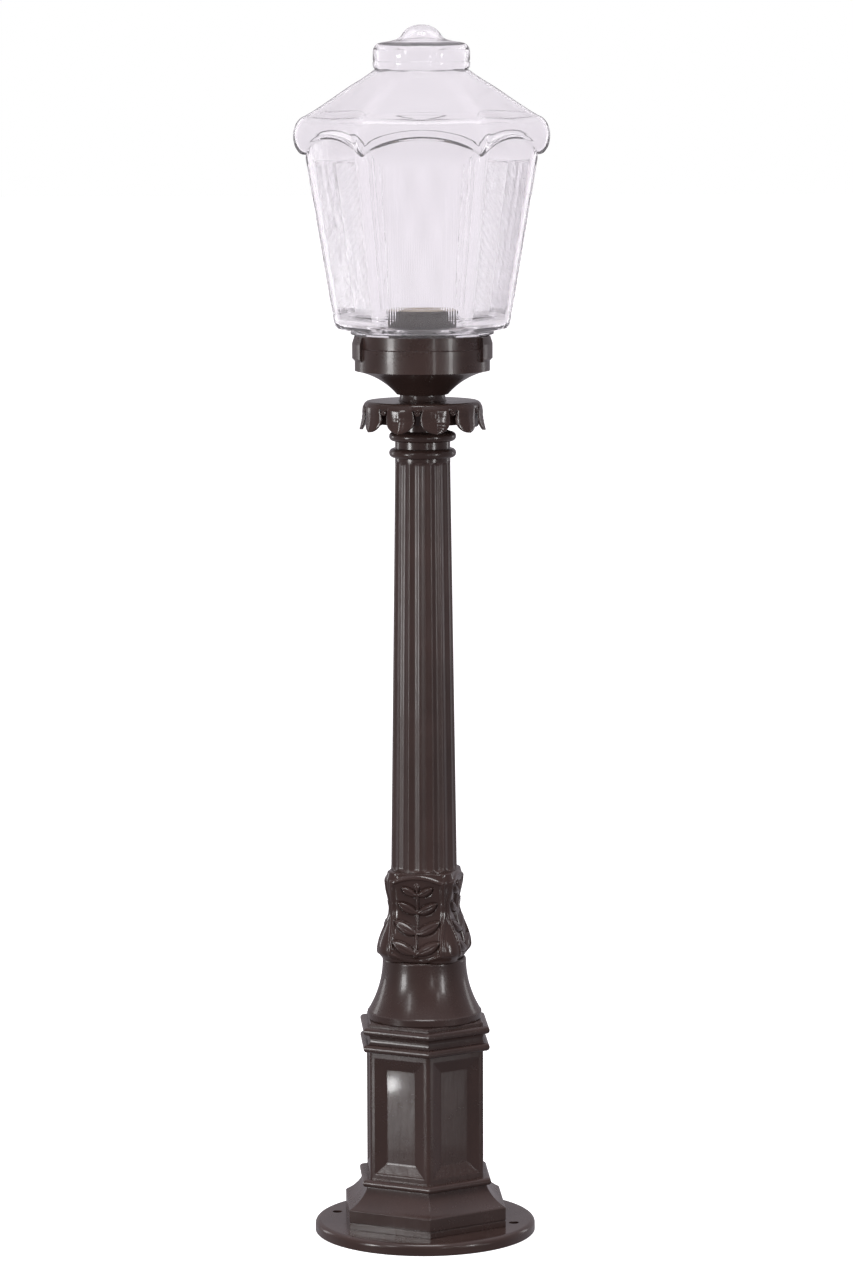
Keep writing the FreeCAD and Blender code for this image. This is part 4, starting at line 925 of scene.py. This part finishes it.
def make_floor():
    """White ground that only the camera sees, so it throws no light back on the lamp."""
    mesh = bpy.data.meshes.new("floor")
    signs = ((-1, -1), (1, -1), (1, 1), (-1, 1))
    corners = [(x * FLOOR_REACH, y * FLOOR_REACH, 0) for x, y in signs]
    mesh.from_pydata(corners, [], [(0, 1, 2, 3)])
    floor = add_object("floor", mesh)
    s = Shader("floor_white")
    colour = s.ramp(s.noise(3.0, 3.0, 0.5), [(0.3, (0.93, 0.93, 0.93)), (0.7, (0.96, 0.96, 0.96))])
    s.link(colour, s.surface.inputs["Base Color"])
    s.put(roughness=0.9, emission_color=WHITE, emission_strength=0.9)
    dress(floor, s.material)
    floor.visible_diffuse = False
    floor.visible_glossy = False
    floor.visible_transmission = False
    floor.visible_shadow = False


def soft_box(name, azimuth, distance, height, size, radiance):
    """Area light that faces the lamp's axis."""
    turn = math.radians(azimuth)
    place = Vector((distance * math.sin(turn), -distance * math.cos(turn), height))
    data = bpy.data.lights.new(name, "AREA")
    data.shape = "RECTANGLE"
    data.size, data.size_y = size
    data.energy = radiance * math.pi * size[0] * size[1]
    light = bpy.data.objects.new(name, data)
    bpy.context.scene.collection.objects.link(light)
    light.location = place
    aim = Vector((0.0, 0.0, min(height, AIM_HEIGHT)))
    light.rotation_euler = (aim - place).to_track_quat("-Z", "Y").to_euler()
    light.visible_camera = False
    light.visible_transmission = False


def make_light():
    """Dim room with soft boxes. The world is white to the camera and tinted through the globe."""
    world = bpy.data.worlds.new("studio")
    bpy.context.scene.world = world
    world.use_nodes = True
    n = Nodes(world.node_tree)
    background = n.tree.nodes["Background"].inputs

    def spread(*levels):
        return n.levels(*levels, interpolation_type="SMOOTHSTEP")

    path = n.add("ShaderNodeLightPath").outputs
    to_camera = path["Is Camera Ray"]
    through = n.math("MINIMUM", path["Transmission Depth"], 1.0)
    split = n.add("ShaderNodeSeparateXYZ")
    n.link(n.add("ShaderNodeTexCoord").outputs["Generated"], split.inputs["Vector"])
    x, y, z = split.outputs
    room = n.math("ADD", spread(y, *ROOM_BY_Y), spread(z, *ROOM_BY_Z))
    seen_through = spread(n.math("ABSOLUTE", x), *THROUGH_BY_X)
    seen_past = n.math("MAXIMUM", room, to_camera)
    n.link(n.blend_number(through, seen_past, seen_through), background["Strength"])
    past_tint = n.blend(to_camera, ROOM_TINT, WHITE)
    n.link(n.blend(through, past_tint, THROUGH_TINT), background["Color"])
    for light in LIGHTS:
        soft_box(*light)
    bpy.context.scene.view_settings.view_transform = "Standard"


make_camera()
dress_castings()
dress_nodes()
dress(make_globe(), clear_plastic())
make_floor()
make_light()
